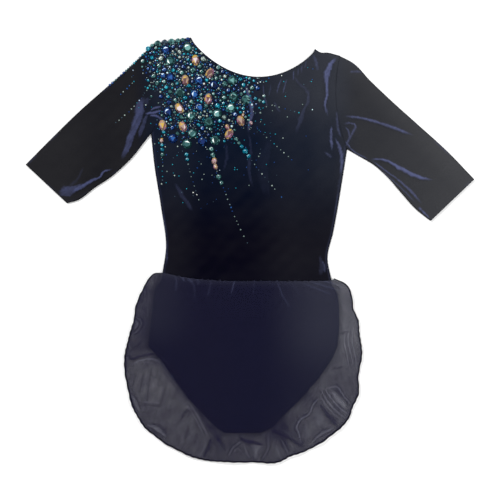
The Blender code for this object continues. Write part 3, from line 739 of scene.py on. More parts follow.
class Graph:
    """A material's nodes, which are added by kind and joined by the names of their sockets."""

    def __init__(self, name: str, roughness: float, specular: float) -> None:
        """Starts a material.

        Args:
            name: Its name.
            roughness: Its roughness.
            specular: Its specular level.
        """
        self.made = bpy.data.materials.new(name)
        self.made.use_nodes = True
        self.shader = self.made.node_tree.nodes["Principled BSDF"]
        self.fill(self.shader, {"Roughness": roughness, "Specular IOR Level": specular})

    def fill(self, node: Node, values: dict[str, float | Colour]) -> None:
        """Sets a node's sockets by their names."""
        for socket, value in values.items():
            node.inputs[socket].default_value = (*value, 1) if isinstance(value, tuple) else value

    def add(self, kind: str, values: dict[str, float] | None = None, **settings: str) -> Node:
        """Adds a node.

        Args:
            kind: Its kind, without the word that all shader nodes start with.
            values: The values of its sockets.
            settings: Its own settings, such as what it calculates.

        Returns:
            The node.
        """
        node = self.made.node_tree.nodes.new("ShaderNode" + kind)
        self.fill(node, values or {})
        for setting, value in settings.items():
            setattr(node, setting, value)
        return node

    def join(self, *links: tuple[Node, str | int, Node, str | int]) -> None:
        """Joins outputs to inputs, each a node and its socket."""
        for source, out, target, into in links:
            self.made.node_tree.links.new(source.outputs[out], target.inputs[into])

    def specks(self, scale: float, low: float, high: float, detail: float) -> tuple[Node, Node]:
        """Adds a fine noise on the piece's own coordinates.

        Args:
            scale: How many specks there are in a metre.
            low: What the darkest specks are stretched to.
            high: What the lightest ones are stretched to.
            detail: The noise's detail.

        Returns:
            The noise, and the node that stretches it.
        """
        place = self.add("TexCoord")
        noise = self.add("TexNoise", {"Scale": scale, "Detail": detail})
        span = {"From Min": 0.3, "From Max": 0.7, "To Min": low, "To Max": high}
        spread = self.add("MapRange", span)
        self.join((place, "Object", noise, "Vector"), (noise, "Fac", spread, "Value"))
        return noise, spread

    def relief(self, source: Node, strength: float, depth: float) -> None:
        """Adds a bump.

        Args:
            source: The texture that gives its height.
            strength: Its strength.
            depth: Its depth in metres.
        """
        bump = self.add("Bump", {"Strength": strength, "Distance": depth})
        self.join((source, "Fac", bump, "Height"), (bump, "Normal", self.shader, "Normal"))

    def cloth(self, scale: float, spread: float, bump: float) -> None:
        """Colours a cloth by its tone attribute, with the unevenness of its nap or loops.

        Args:
            scale: How many specks there are in a metre.
            spread: How far the specks are from the tone, as a share of it.
            bump: The strength of their bump.
        """
        tone = self.add("Attribute", attribute_name="tone")
        noise, specks = self.specks(scale, 1 - spread, 1 + spread, detail=3.0)
        times = self.add("VectorMath", operation="MULTIPLY")
        self.join(
            (tone, "Color", times, 0), (specks, "Result", times, 1),
            (times, "Vector", self.shader, "Base Color"),
        )
        self.relief(noise, bump, 0.0002)


@dataclass(frozen=True)
class Velvet:
    """Stretch velvet: almost black face on; the blue where a fold turns its nap to the light is a painted
    sheen.
    """

    sheen: float = 0.025
    sheen_tint: Colour = (0.35, 0.4, 0.9)

    def material(self) -> Material:
        """The material, whose colour comes from each piece's tone attribute, which holds painted sheen,
        light and shade.
        """
        graph = Graph("velvet", 0.9, 0.03)
        sheen = {"Sheen Weight": self.sheen, "Sheen Roughness": 0.4, "Sheen Tint": self.sheen_tint}
        graph.fill(graph.shader, sheen)
        graph.cloth(scale=900.0, spread=0.18, bump=0.12)
        return graph.made


@dataclass(frozen=True)
class Knit:
    """The matte stretch knit of the brief."""

    def material(self) -> Material:
        """The material, whose colour comes from each piece's tone attribute."""
        graph = Graph("knit", 0.8, 0.05)
        graph.cloth(scale=1400.0, spread=0.1, bump=0.1)
        return graph.made


@dataclass(frozen=True)
class Net:
    """Sheer stretch net, whose cover attribute says how much of what lies below it hides."""

    grain: float = 0.07

    def material(self) -> Material:
        """The material."""
        graph = Graph("net", 0.7, 0.06)
        graph.cloth(scale=700.0, spread=0.1, bump=0.05)
        cover = graph.add("Attribute", attribute_name="cover")
        _, mesh = graph.specks(430.0, 1 - self.grain, 1 + self.grain, detail=2.0)
        times = graph.add("Math", operation="MULTIPLY")
        graph.join(
            (cover, "Fac", times, 0), (mesh, "Result", times, 1), (times, "Value", graph.shader, "Alpha"),
        )
        return graph.made


@dataclass(frozen=True)
class HemThread:
    """The dark thread that rolls the net's edge."""

    colour: Colour = (0.003, 0.003, 0.005)

    def material(self) -> Material:
        """The material, with the slanting wraps of the thread as bump."""
        graph = Graph("hem_thread", 0.75, 0.1)
        graph.fill(graph.shader, {"Base Color": self.colour})
        wrap = graph.add("TexWave", {"Scale": 260.0, "Distortion": 2.0})
        graph.join((graph.add("TexCoord"), "Object", wrap, "Vector"))
        graph.relief(wrap, 0.5, 0.0003)
        return graph.made


@dataclass(frozen=True)
class CutGlass:
    """Foiled cut glass, whose facet attribute gives each facet's colour, with painted light, shade and
    glints in it.
    """

    def material(self) -> Material:
        """The material."""
        graph = Graph("cut_glass", 0.1, 0.2)
        facet = graph.add("Attribute", attribute_name="facet")
        graph.join((facet, "Color", graph.shader, "Base Color"))
        return graph.made


@dataclass(frozen=True)
class Floor:
    """The studio's pale matte floor."""

    colour: Colour = (0.95, 0.95, 0.95)

    def material(self) -> Material:
        """The material."""
        graph = Graph("floor", 0.9, 0.0)
        graph.fill(graph.shader, {"Base Color": self.colour})
        return graph.made


def choose(obj: Obj) -> None:
    """Makes a piece the only one selected, and the active one."""
    bpy.ops.object.select_all(action="DESELECT")
    obj.select_set(True)
    bpy.context.view_layer.objects.active = obj


def placed(name: str, data: bpy.types.ID) -> Obj:
    """A new object of some data, in the scene."""
    obj = bpy.data.objects.new(name, data)
    bpy.context.scene.collection.objects.link(obj)
    return obj


def cloth(
    name: str,
    points: Array,
    around: bool,
    wall: float,
    dress: dict[str, Array],
    finish: Material,
) -> Obj:
    """A shell of cloth laid through rows of points.

    Args:
        name: The piece's name.
        points: Its outer face, as rows of columns of x, y, z in millimetres.
        around: Whether each row closes on itself.
        wall: The cloth's thickness, which goes inwards.
        dress: Attributes by name: a colour, or a number, for each point.
        finish: The material.

    Returns:
        The piece, with its wall made.
    """
    rows, columns = points.shape[:2]
    index = np.arange(rows * columns).reshape(rows, columns)
    right = np.roll(index, -1, axis=1) if around else index[:, 1:]
    here = index if around else index[:, :-1]
    faces = np.stack([here[:-1], right[:-1], right[1:], here[1:]], axis=-1).reshape(-1, 4)
    mesh = bpy.data.meshes.new(name)
    mesh.from_pydata((points.reshape(-1, 3) * MM).tolist(), [], faces.tolist())
    for label, values in dress.items():
        if values.ndim == 3:
            data = np.concatenate([values.reshape(-1, 3), np.ones((rows * columns, 1))], axis=1)
            layer = mesh.attributes.new(label, "FLOAT_COLOR", "POINT")
            layer.data.foreach_set("color", data.ravel())
        else:
            layer = mesh.attributes.new(label, "FLOAT", "POINT")
            layer.data.foreach_set("value", values.ravel())
    mesh.materials.append(finish)
    obj = placed(name, mesh)
    choose(obj)
    bpy.ops.object.shade_smooth()
    shell = obj.modifiers.new("wall", "SOLIDIFY")
    shell.thickness = wall * MM
    shell.offset = -1.0
    bpy.ops.object.modifier_apply(modifier=shell.name)
    return obj


@dataclass(frozen=True)
class VelvetTone:
    """How dark the velvet lies over the garment, with painted light on its sides and sleeves, painted
    sheen where its nap lights up on the folds, and painted shade at its rolled edges.
    """

    waist: Colour = (0.0015, 0.0013, 0.0049)
    chest: Colour = (0.0028, 0.0054, 0.0140)
    # The sleeves' tone: the velvet's colour with the painted light that falls on each sleeve.
    right_sleeve_and_light: Colour = (0.0094, 0.0093, 0.0114)
    left_sleeve_and_light: Colour = (0.0228, 0.0236, 0.0278)
    # The grey of the painted wash of light.
    haze: Colour = (0.0310, 0.0310, 0.0310)
    # The blue of the painted sheen on the folds' nap, on the right and on the left.
    lit_right: Colour = (0.048, 0.056, 0.123)
    lit_left: Colour = (0.074, 0.084, 0.168)
    # Where the painted wash of light lies on the bodice: each part's strength and ramps.
    bodice_light_wash: Haze = (
        (0.14, (Ramp(-20, 95),)), (0.32, (Ramp(-20, 95), Ramp(150, 90, UP))),
        (0.13, (Ramp(80, 30), Ramp(60, 60, UP))), (0.11, (Ramp(60, 60, RIGHT),)),
        (0.1, (Ramp(185, 50, UP),)),
    )
    # And where the painted wash of light lies on the sleeves.
    sleeve_light_wash: Haze = (
        (0.40, (Ramp(160, 160),)), (0.22, (Ramp(390, 45, (1.0, 1.0)),)), (0.12, (Ramp(215, 90, RIGHT),)),
    )
    mottles: tuple[Mottle, ...] = ((0.022, 52, 5), (0.016, 17, 6))
    chest_up: float = 170.0
    middle: float = -6.0
    bodice_half: float = 125.0
    brightest: float = 1.2
    # How strong and how wide the painted shade at the rolled edges is.
    edge_shade: float = 0.6
    edge_wide: float = 1.3
    black: float = 0.0008

    def paint(self, x: Array, y: Array, shine: Array, inside: Array) -> Array:
        """The tone at points: a blue chest, a dark waist, sleeves and sides paled by painted light,
        painted sheen on the folds and painted shade at the rolled edges.

        Args:
            x: The points' x.
            y: The points' y.
            shine: The folds' painted sheen.
            inside: How far in from the nearest rolled edge the points lie.

        Returns:
            A colour for each point.
        """
        body = mixed(self.waist, self.chest, smooth(y / self.chest_up))
        # The sleeves are paler: painted light over the velvet's colour.
        sleeve = mixed(self.right_sleeve_and_light, self.left_sleeve_and_light, smooth(x / 20))
        share = smooth((np.abs(x - self.middle) - 128) / 46)[..., None]
        tone = (1 - share) * body + share * sleeve
        # A painted wash of light over the sides, the upper chest and the sleeves, with random mottles in
        # it.
        haze = summed(self.bodice_light_wash, x, y) * (1 - smooth((np.abs(x) - self.bodice_half) / 40))
        haze = haze + summed(self.sleeve_light_wash, x, y)
        for strength, size, seed in self.mottles:
            haze = haze + strength * uneven(x, y, size, seed)
        tone = tone + haze[..., None] * np.array(self.haze)
        # Painted sheen: the tone turns to the lit blue where the folds shine.
        lit = mixed(self.lit_right, self.lit_left, smooth((x + 20) / 120))
        tone = tone + (lit - tone) * np.clip(shine, 0, self.brightest)[..., None]
        # Painted shade where the cloth rolls over at its edges.
        tone = tone * (1 - self.edge_shade * bell(inside / self.edge_wide))[..., None]
        return np.clip(tone, self.black, 1)


@dataclass
class Bodice:
    """The velvet front and back, from the waist seam to the neckline."""

    folds: CreaseField
    tone: VelvetTone
    finish: Material
    columns: int = 186
    rows: int = 236
    wide: float = 275.0
    long: float = 330.0
    wall: float = 0.9
    back_wall: float = 1.0
    back_top: float = 1.2
    front_top: float = 3.4
    edge_roll: float = 5.0
    seam_roll: float = 2.4
    neck_roll: float = 3.0
    armhole_fade: float = 0.01
    armhole_flat: float = 0.85
    waist_rise: float = 1.2
    waist_band: Pair = (-14.0, 26.0)
    waist_rag: float = 2.2
    neck_turn: float = 6.0
    turn_high: float = 0.25
    # How strong the painted highlight along the rolled side edges is.
    edge_highlight: float = 0.14
    swell: float = 0.35

    def front(self) -> Obj:
        """Builds the front, rolled over at its edges and creased.

        Returns:
            The piece.
        """
        u, v = grid(self.columns, self.rows)
        flat = CUT.bodice(u, v, NECK_DEEP)
        x, y = flat[..., 0], flat[..., 1]
        inside = np.minimum(u, 1 - u) * self.wide
        top = (1 - v) * self.long
        armhole = smooth((v - CUT.underarm_row) / self.armhole_fade)
        roll = self.edge_roll * (1 - armhole) + self.seam_roll * armhole
        side = quarter_round(inside / roll)
        flatter = self.armhole_flat + (1 - self.armhole_flat) * side
        side = side * (1 - armhole) + flatter * armhole
        upper = quarter_round(top / self.neck_roll)
        lift, shine = self.folds.lay(x, y)
        calm = smooth(inside / 4) * smooth(top / 3) * smooth((y + 40) / 14)
        z = self.back_top + (self.front_top - self.back_top) * side * (0.3 + 0.7 * upper)
        z += (lift + self.swell * uneven(x, y, 46, 3)) * calm
        z += self.turn_high * bell((top - self.neck_turn) / 1.2) * calm
        z += self.waist_rise * smooth((self.waist_band[0] - y) / self.waist_band[1])
        y = y - np.exp(-v * self.long / self.waist_rag) * (1.2 + 0.8 * uneven(x, 0 * x, 9, 8))
        # A painted highlight along the side edges, where the front rolls over.
        edge_sheen = self.edge_highlight * bell((inside - 2.6) / 1.3) * (1 - armhole)
        rolled = np.minimum(inside + 9 * armhole, top)
        dress = {"tone": self.tone.paint(x, y, np.maximum(shine, edge_sheen), rolled)}
        points = np.stack([x, y, z], axis=-1)
        piece = cloth("velvet_front", points, False, self.wall, dress, self.finish)
        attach(piece, "root")
        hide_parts("bodice_front")
        return piece

    def back(self) -> Obj:
        """Builds the back, flat on the surface.

        Returns:
            The piece.
        """
        u, v = grid(70, 90)
        flat = CUT.bodice(u, v, NECK_DEEP_BACK)
        x, y = flat[..., 0], flat[..., 1]
        points = np.stack([x, y, np.full_like(x, self.back_top - 0.1)], axis=-1)
        dress = {"tone": self.tone.paint(x, y, 0 * x, 0 * x + 9)}
        piece = cloth("velvet_back", points, False, self.back_wall, dress, self.finish)
        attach(piece, "root")
        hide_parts("bodice_back")
        return piece


@dataclass
class Sleeve:
    """A half sleeve: a tube of velvet that lies flat."""

    node: str
    sections: tuple[tuple[float, ...], ...]
    tuck: float
    folds: CreaseField
    tone: VelvetTone
    finish: Material
    high: float = 3.4
    long: float = 190.0
    wall: float = 0.9
    upper: int = 92
    under: int = 24
    turns: int = 7
    rows: int = 190
    seam_rows: tuple[float, ...] = (0, 0.003, 0.006, 0.009, 0.013)
    first_row: float = 0.018
    seam_sunk: float = 0.9
    swell: float = 0.3
    # How strong the painted highlight along the sleeve's rolled edges is.
    edge_highlight: float = 0.3

    def around(self) -> tuple[Array, Array]:
        """The tube's columns, over its upper side and back under it.

        Returns:
            Their shares across it, and the angles at which they stand.
        """
        turn = np.radians(np.linspace(90, -90, self.turns))
        shares = np.concatenate([
            np.zeros(self.turns), np.linspace(0, 1, self.upper + 1)[1:-1],
            np.ones(self.turns), np.linspace(1, 0, self.under + 1)[1:-1],
        ])
        angles = np.concatenate([
            -turn, np.full(self.upper - 1, math.pi / 2), turn, np.full(self.under - 1, -math.pi / 2),
        ])
        return shares, angles

    def build(self) -> Obj:
        """Builds the tube from its armhole to its cuff.

        Returns:
            The piece.
        """
        radius = self.high / 2
        shares, angles = self.around()
        v = np.concatenate([self.seam_rows, np.linspace(self.first_row, 1, self.rows)])
        table = along(self.sections, v)
        first, second, bow = table[:, None, 0:2], table[:, None, 2:4], table[:, None, 4]
        wide = np.linalg.norm(second - first, axis=-1)
        end = radius / wide
        t = end + shares * (1 - 2 * end) + (2 * np.round(shares) - 1) * end * np.cos(angles)
        flat = (1 - t)[..., None] * first + t[..., None] * second
        x = flat[..., 0] + bow * 4 * t * (1 - t) + self.tuck * (1 - v)[:, None] ** 8
        y = flat[..., 1]
        top = np.broadcast_to(angles > 0, x.shape)
        lift, shine = self.folds.lay(x, y)
        across = np.minimum(t, 1 - t) * wide
        calm = smooth(across / 5)
        inside = smooth((v[:, None] * self.long - 0.3) / 1.2)
        z = radius * (1 + np.sin(angles)) + 0 * x
        raised = (lift + self.swell * uneven(x, y, 44, 9)) * calm
        z = np.where(top, z - self.seam_sunk * (1 - inside) + raised, z)
        rolled = np.minimum(across, (1 - v[:, None]) * self.long + 0.9)
        # A patchy painted highlight along the rolled edges, kept with the folds' painted sheen.
        edge = self.edge_highlight * bell((rolled - 2.2) / 0.8) * smooth(uneven(x, y, 40, 21))
        shine = np.maximum(np.where(top, shine, 0.0), edge)
        order = slice(None, None, -1 if self.sections[0][0] < 0 else 1)
        points = np.stack([x, y, z], axis=-1)[:, order]
        dress = {"tone": self.tone.paint(x, y, shine, rolled)[:, order]}
        piece = cloth(f"velvet_{self.node}", points, True, self.wall, dress, self.finish)
        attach(piece, "root")
        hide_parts(self.node)
        return piece


@dataclass
class Brief:
    """A knit panel below the waist, seen through the skirt, whose legs are cut in by cut."""

    name: str
    node: str
    top: float
    cut: float
    rests_on: str
    finish: Material
    columns: int = 90
    rows: int = 90
    wall: float = 0.7
    leg_hem: float = 7.0
    side_gap: float = 0.3
    edge_drop: float = 0.2
    tone: Colour = (0.0006, 0.0034, 0.0270)
    edge_tone: Colour = (0.0040, 0.0064, 0.0250)

    def build(self) -> Obj:
        """Builds the panel.

        Returns:
            The piece.
        """
        u, v = grid(self.columns, self.rows)
        low = CUT.brief[-1][0] + self.cut
        seam = along(CUT.waist, u)[..., 1] - CUT.seam_gap
        y = low + (seam - low) * v
        right, left = CUT.brief_edges(np.minimum(y, CUT.waist[-1][1]), self.cut)
        near = smooth((v - 0.9) / 0.1)
        right = (1 - near) * right + near * (CUT.waist[0][0] + self.side_gap)
        left = (1 - near) * left + near * (CUT.waist[-1][0] - self.side_gap)
        leg = np.minimum(u, 1 - u) * (left - right)
        hem = bell(leg - self.leg_hem) * smooth((CUT.leg_start - y) / 15)
        z = self.top + 0 * y - self.edge_drop * np.exp(-leg / 1.5)
        points = np.stack([right + (left - right) * u, y, z], axis=-1)
        dress = {"tone": mixed(self.tone, self.edge_tone, hem)}
        piece = cloth(self.name, points, False, self.wall, dress, self.finish)
        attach(piece, "root")
        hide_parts(self.node)
        return piece


@dataclass
class Skirt:
    """The net skirt's front and back, each with a rolled hem."""

    pleats: CreaseField
    finish: Material
    thread: Material
    front_faces: tuple[int, int] = (470, 99)
    back_faces: tuple[int, int] = (220, 60)
    row_crowding: float = 0.4
    wall: float = 0.4
    back_wall: float = 0.8
    back_top: float = 0.9
    back_inset: float = 0.7
    brief_back_seat: float = 1.3
    front_seat: float = 3.9
    cad_wall: float = 1.0
    hem_lift: float = 2.6
    hem_share: float = 0.55
    hem_calm: float = 0.08
    hem_radius: float = 0.72
    hem_low: float = 0.3
    waist_drop: float = 0.9
    waist_fade: float = 6.0
    long: float = 300.0
    dark: float = 0.5
    # How much the ridges' painted sheen lets more of the floor show through.
    light: float = 0.4
    plain: float = 0.560
    over_edge: Haze = ((0.08, ()), (0.05, (Ramp(20, 40, RIGHT),)))
    cover_haze: Haze = (
        (0.045, (Ramp(90, 60, RIGHT), Ramp(-110, 40, UP))), (-0.035, (Ramp(100, 40), Ramp(-160, 30, UP))),
        (-0.02, (Ramp(60, 60),)),
    )
    patches: tuple[tuple[float, float, float, float], ...] = (  # x, y, radius and what it hides more
        (-165, -75, 28, 0.040), (-166, -115, 24, 0.040), (-172, -148, 12, 0.070),
        (-156, -104, 10, 0.085), (-158, -126, 10, 0.085), (-163, -141, 10, 0.030),
        (-145, -166, 8, 0.050), (0, -276, 10, 0.030),
        (-157, -197, 27, -0.036), (-135, -212, 22, -0.036), (-95, -262, 20, -0.018),
        (45, -268, 19, 0.140), (88, -222, 15, 0.060), (104, -256, 16, 0.010), (120, -226, 8, -0.040),
        (148, -78, 18, 0.025), (-95, -228, 14, -0.020), (153, -138, 20, -0.008), (135, -200, 20, 0.035),
        (10, -300, 16, 0.015), (-45, -296, 18, 0.050), (75, -286, 10, 0.030),
    )
    mottles: tuple[Mottle, ...] = ((0.020, 26, 31), (0.015, 7, 32))
    ring_step: float = 0.5
    ring_strength: float = 0.022
    least_hidden: float = 0.3
    most_hidden: float = 0.97
    # How strong the painted wash of light along the gathered waist is.
    waist_light_wash: float = 0.42
    colour: Colour = (0.0094, 0.0088, 0.0262)
    # The pale blue of the painted sheen on the ridges.
    crest_sheen: Colour = (0.0600, 0.0660, 0.1300)
    # The grey of the painted wash of light on the net.
    light_wash: Colour = (0.0280, 0.0300, 0.0340)
    bloom: Colour = (0.0010, 0.0, 0.0060)
    # Where the painted wash of light lies: towards the left, and over the upper right.
    light_wash_spread: Haze = (
        (0.3, (Ramp(10, 110),)), (0.7, (Ramp(10, 110), Ramp(-210, 100, UP))),
        (0.34, (Ramp(70, 75, RIGHT), Ramp(-160, 60, UP))),
    )

    def cover(self, x: Array, y: Array, lift: Array, shade: Array) -> Array:
        """How much each face of the net hides.

        Args:
            x: The points' x.
            y: The points' y.
            lift: The net's height above its plain form.
            shade: The pleats' shade.

        Returns:
            The share hidden by one face of the two that the net's wall has.
        """
        over = bell(CUT.beyond_brief(x, y) / 5)
        hidden = self.plain + summed(self.cover_haze, x, y) + summed(self.over_edge, x, y) * over
        for cx, cy, radius, more in self.patches:
            hidden = hidden + more * np.exp(-((x - cx) ** 2 + (y - cy) ** 2) / radius**2)
        hidden = hidden + self.dark * np.clip(shade, 0, 1) * (1 - 0.6 * over)
        # On ridges the net hides less: a painted sheen that lets more of the pale floor through.
        hidden = hidden - self.light * np.clip(-shade, 0, 1) * (1 - over)
        for strength, size, seed in self.mottles:
            hidden = hidden - strength * uneven(x, y, size, seed)
        rings = np.sin(2 * math.pi * (lift / self.ring_step + 0.6 * uneven(x, y, 50, 33)))
        hidden = hidden + self.ring_strength * rings * smooth(lift / self.ring_step)
        return 1 - np.sqrt(1 - np.clip(hidden, self.least_hidden, self.most_hidden))

    def tone(self, x: Array, y: Array, shade: Array) -> Array:
        """The net's colour at points: a painted sheen on the ridges, and a painted wash of light towards
        the waist's left.

        Args:
            x: The points' x.
            y: The points' y.
            shade: The pleats' shade.

        Returns:
            A colour for each point.
        """
        # Ridges take the painted sheen's colour.
        base = mixed(self.colour, self.crest_sheen, -shade)
        base = base + smooth(CUT.beyond_brief(x, y) / 10)[..., None] * np.array(self.bloom)
        # A painted wash of light over the sides and along the waist seam.
        haze = summed(self.light_wash_spread, x, y) + self.waist_light_wash * bell(CUT.below_waist(x, y) / 7)
        return base + haze[..., None] * np.array(self.light_wash)

    def front(self) -> list[Obj]:
        """Builds the front panel over the brief, rippled towards its hem.

        Returns:
            The panel and its hem.
        """
        u, v = grid(*self.front_faces)
        v = v + self.row_crowding * np.sin(math.pi * v) / math.pi
        flat = CUT.skirt(u, v, 0.0, 0.0)
        x, y = flat[..., 0], flat[..., 1]
        seat = self.brief_back_seat + (self.front_seat - self.brief_back_seat) * CUT.over_brief(x, y)
        free = smooth((self.hem_share - (1 - v)) / self.hem_share)
        free = free * smooth(np.minimum(u, 1 - u) / self.hem_calm)
        ripple = self.hem_lift * free * (0.5 + 0.5 * CUT.hem_wave(u, 0.4))
        lift, shade = self.pleats.lay(x, y)
        lift = lift * smooth((v - 0.02) / 0.1)
        z = seat + self.cad_wall - 0.1 + ripple + lift
        z = z - self.waist_drop * np.exp(-v * self.long / self.waist_fade)
        points = np.stack([x, y, z], axis=-1)
        made = self.panel("front", points, lift + 0.5 * ripple, shade, self.wall)
        return self.declare(made, "skirt_front")

    def back(self) -> list[Obj]:
        """Builds the back panel, flat on the surface.

        Returns:
            The panel and its hem.
        """
        flat = CUT.skirt(*grid(*self.back_faces), self.back_inset, 0.0)
        plain = 0 * flat[..., 0]
        points = np.concatenate([flat, plain[..., None] + self.back_top], axis=-1)
        made = self.panel("back", points, plain, plain, self.back_wall)
        return self.declare(made, "skirt_back")

    def panel(self, side: str, points: Array, lift: Array, shade: Array, wall: float) -> list[Obj]:
        """Makes a panel of net and its hem.

        Args:
            side: Front or back.
            points: The panel's points.
            lift: Their height above the net's plain form.
            shade: The pleats' shade there.
            wall: The net's thickness.

        Returns:
            The panel and the hem.
        """
        x, y = points[..., 0], points[..., 1]
        dress = {"tone": self.tone(x, y, shade)[:, ::-1], "cover": self.cover(x, y, lift, shade)[:, ::-1]}
        piece = cloth(f"net_{side}", points[:, ::-1], False, wall, dress, self.finish)
        return [piece, self.hem(f"hem_{side}", points[-1])]

    def hem(self, name: str, line: Array) -> Obj:
        """A rolled hem along an edge.

        Args:
            name: The piece's name.
            line: The edge's points, in millimetres.

        Returns:
            The hem, as a mesh.
        """
        curve = bpy.data.curves.new(name, "CURVE")
        curve.dimensions = "3D"
        curve.bevel_depth = self.hem_radius * MM
        curve.bevel_resolution = 2
        curve.use_fill_caps = True
        spline = curve.splines.new("POLY")
        spline.points.add(len(line) - 1)
        for point, (x, y, z) in zip(spline.points, line):
            point.co = (x * MM, y * MM, max(z - self.hem_low, self.hem_radius) * MM, 1)
        obj = placed(name, curve)
        choose(obj)
        bpy.ops.object.convert(target="MESH")
        obj.data.materials.clear()
        obj.data.materials.append(self.thread)
        bpy.ops.object.shade_smooth()
        return obj

    def declare(self, made: list[Obj], node: str) -> list[Obj]:
        """Attaches a panel and its hem to the root, and hides the solid that the panel stands for.

        Args:
            made: The panel and the hem.
            node: The node that the panel stands for.

        Returns:
            The panel and the hem.
        """
        for part in made:
            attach(part, "root")
        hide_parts(node)
        return made


class Tint(Enum):
    """A kind of stone: its facets' colour in painted shade, its body colour, its colour in painted light,
    and its painted glint.
    """

    EMERALD = ((0.006, 0.028, 0.030), (0.030, 0.098, 0.100), (0.13, 0.30, 0.29), (0.88, 0.97, 0.94))
    SEA = ((0.000, 0.032, 0.055), (0.002, 0.140, 0.215), (0.03, 0.38, 0.48), (0.75, 0.95, 0.97))
    SAPPHIRE = ((0.002, 0.006, 0.026), (0.006, 0.022, 0.110), (0.02, 0.09, 0.29), (0.62, 0.80, 0.95))
    OPAL = ((0.12, 0.06, 0.06), (0.33, 0.24, 0.19), (0.52, 0.34, 0.07), (0.60, 0.52, 0.54))
    CLEAR = ((0.03, 0.05, 0.05), (0.12, 0.18, 0.17), (0.36, 0.45, 0.41), (0.92, 0.96, 0.91))
    NIGHT = ((0.008, 0.012, 0.022), (0.020, 0.032, 0.050), (0.05, 0.09, 0.12), (0.25, 0.36, 0.42))


@dataclass(frozen=True)
class Stone:
    """A stone's place and size in millimetres: half its width and length, its turn and tint."""

    x: float
    y: float
    half: float
    long: float
    turn: float
    tint: Tint
    z: float | None = None
    lean: Row = (0.0, 0.0, 1.0)


@dataclass(frozen=True)
class Trail:
    """A string of stones that leaves the spray: large ones first, then small ones further apart."""

    path: tuple[Pair, ...]
    bold: float
    first: float = 3.4
    last: float = 1.0
    gap: float = 5.0


@dataclass(frozen=True)
class Handful:
    """Stones scattered at once: how many, their half widths, their tints by how often each comes."""

    count: int
    sizes: Pair
    tints: tuple[tuple[Tint, int], ...]
    spread: float
    gap: float


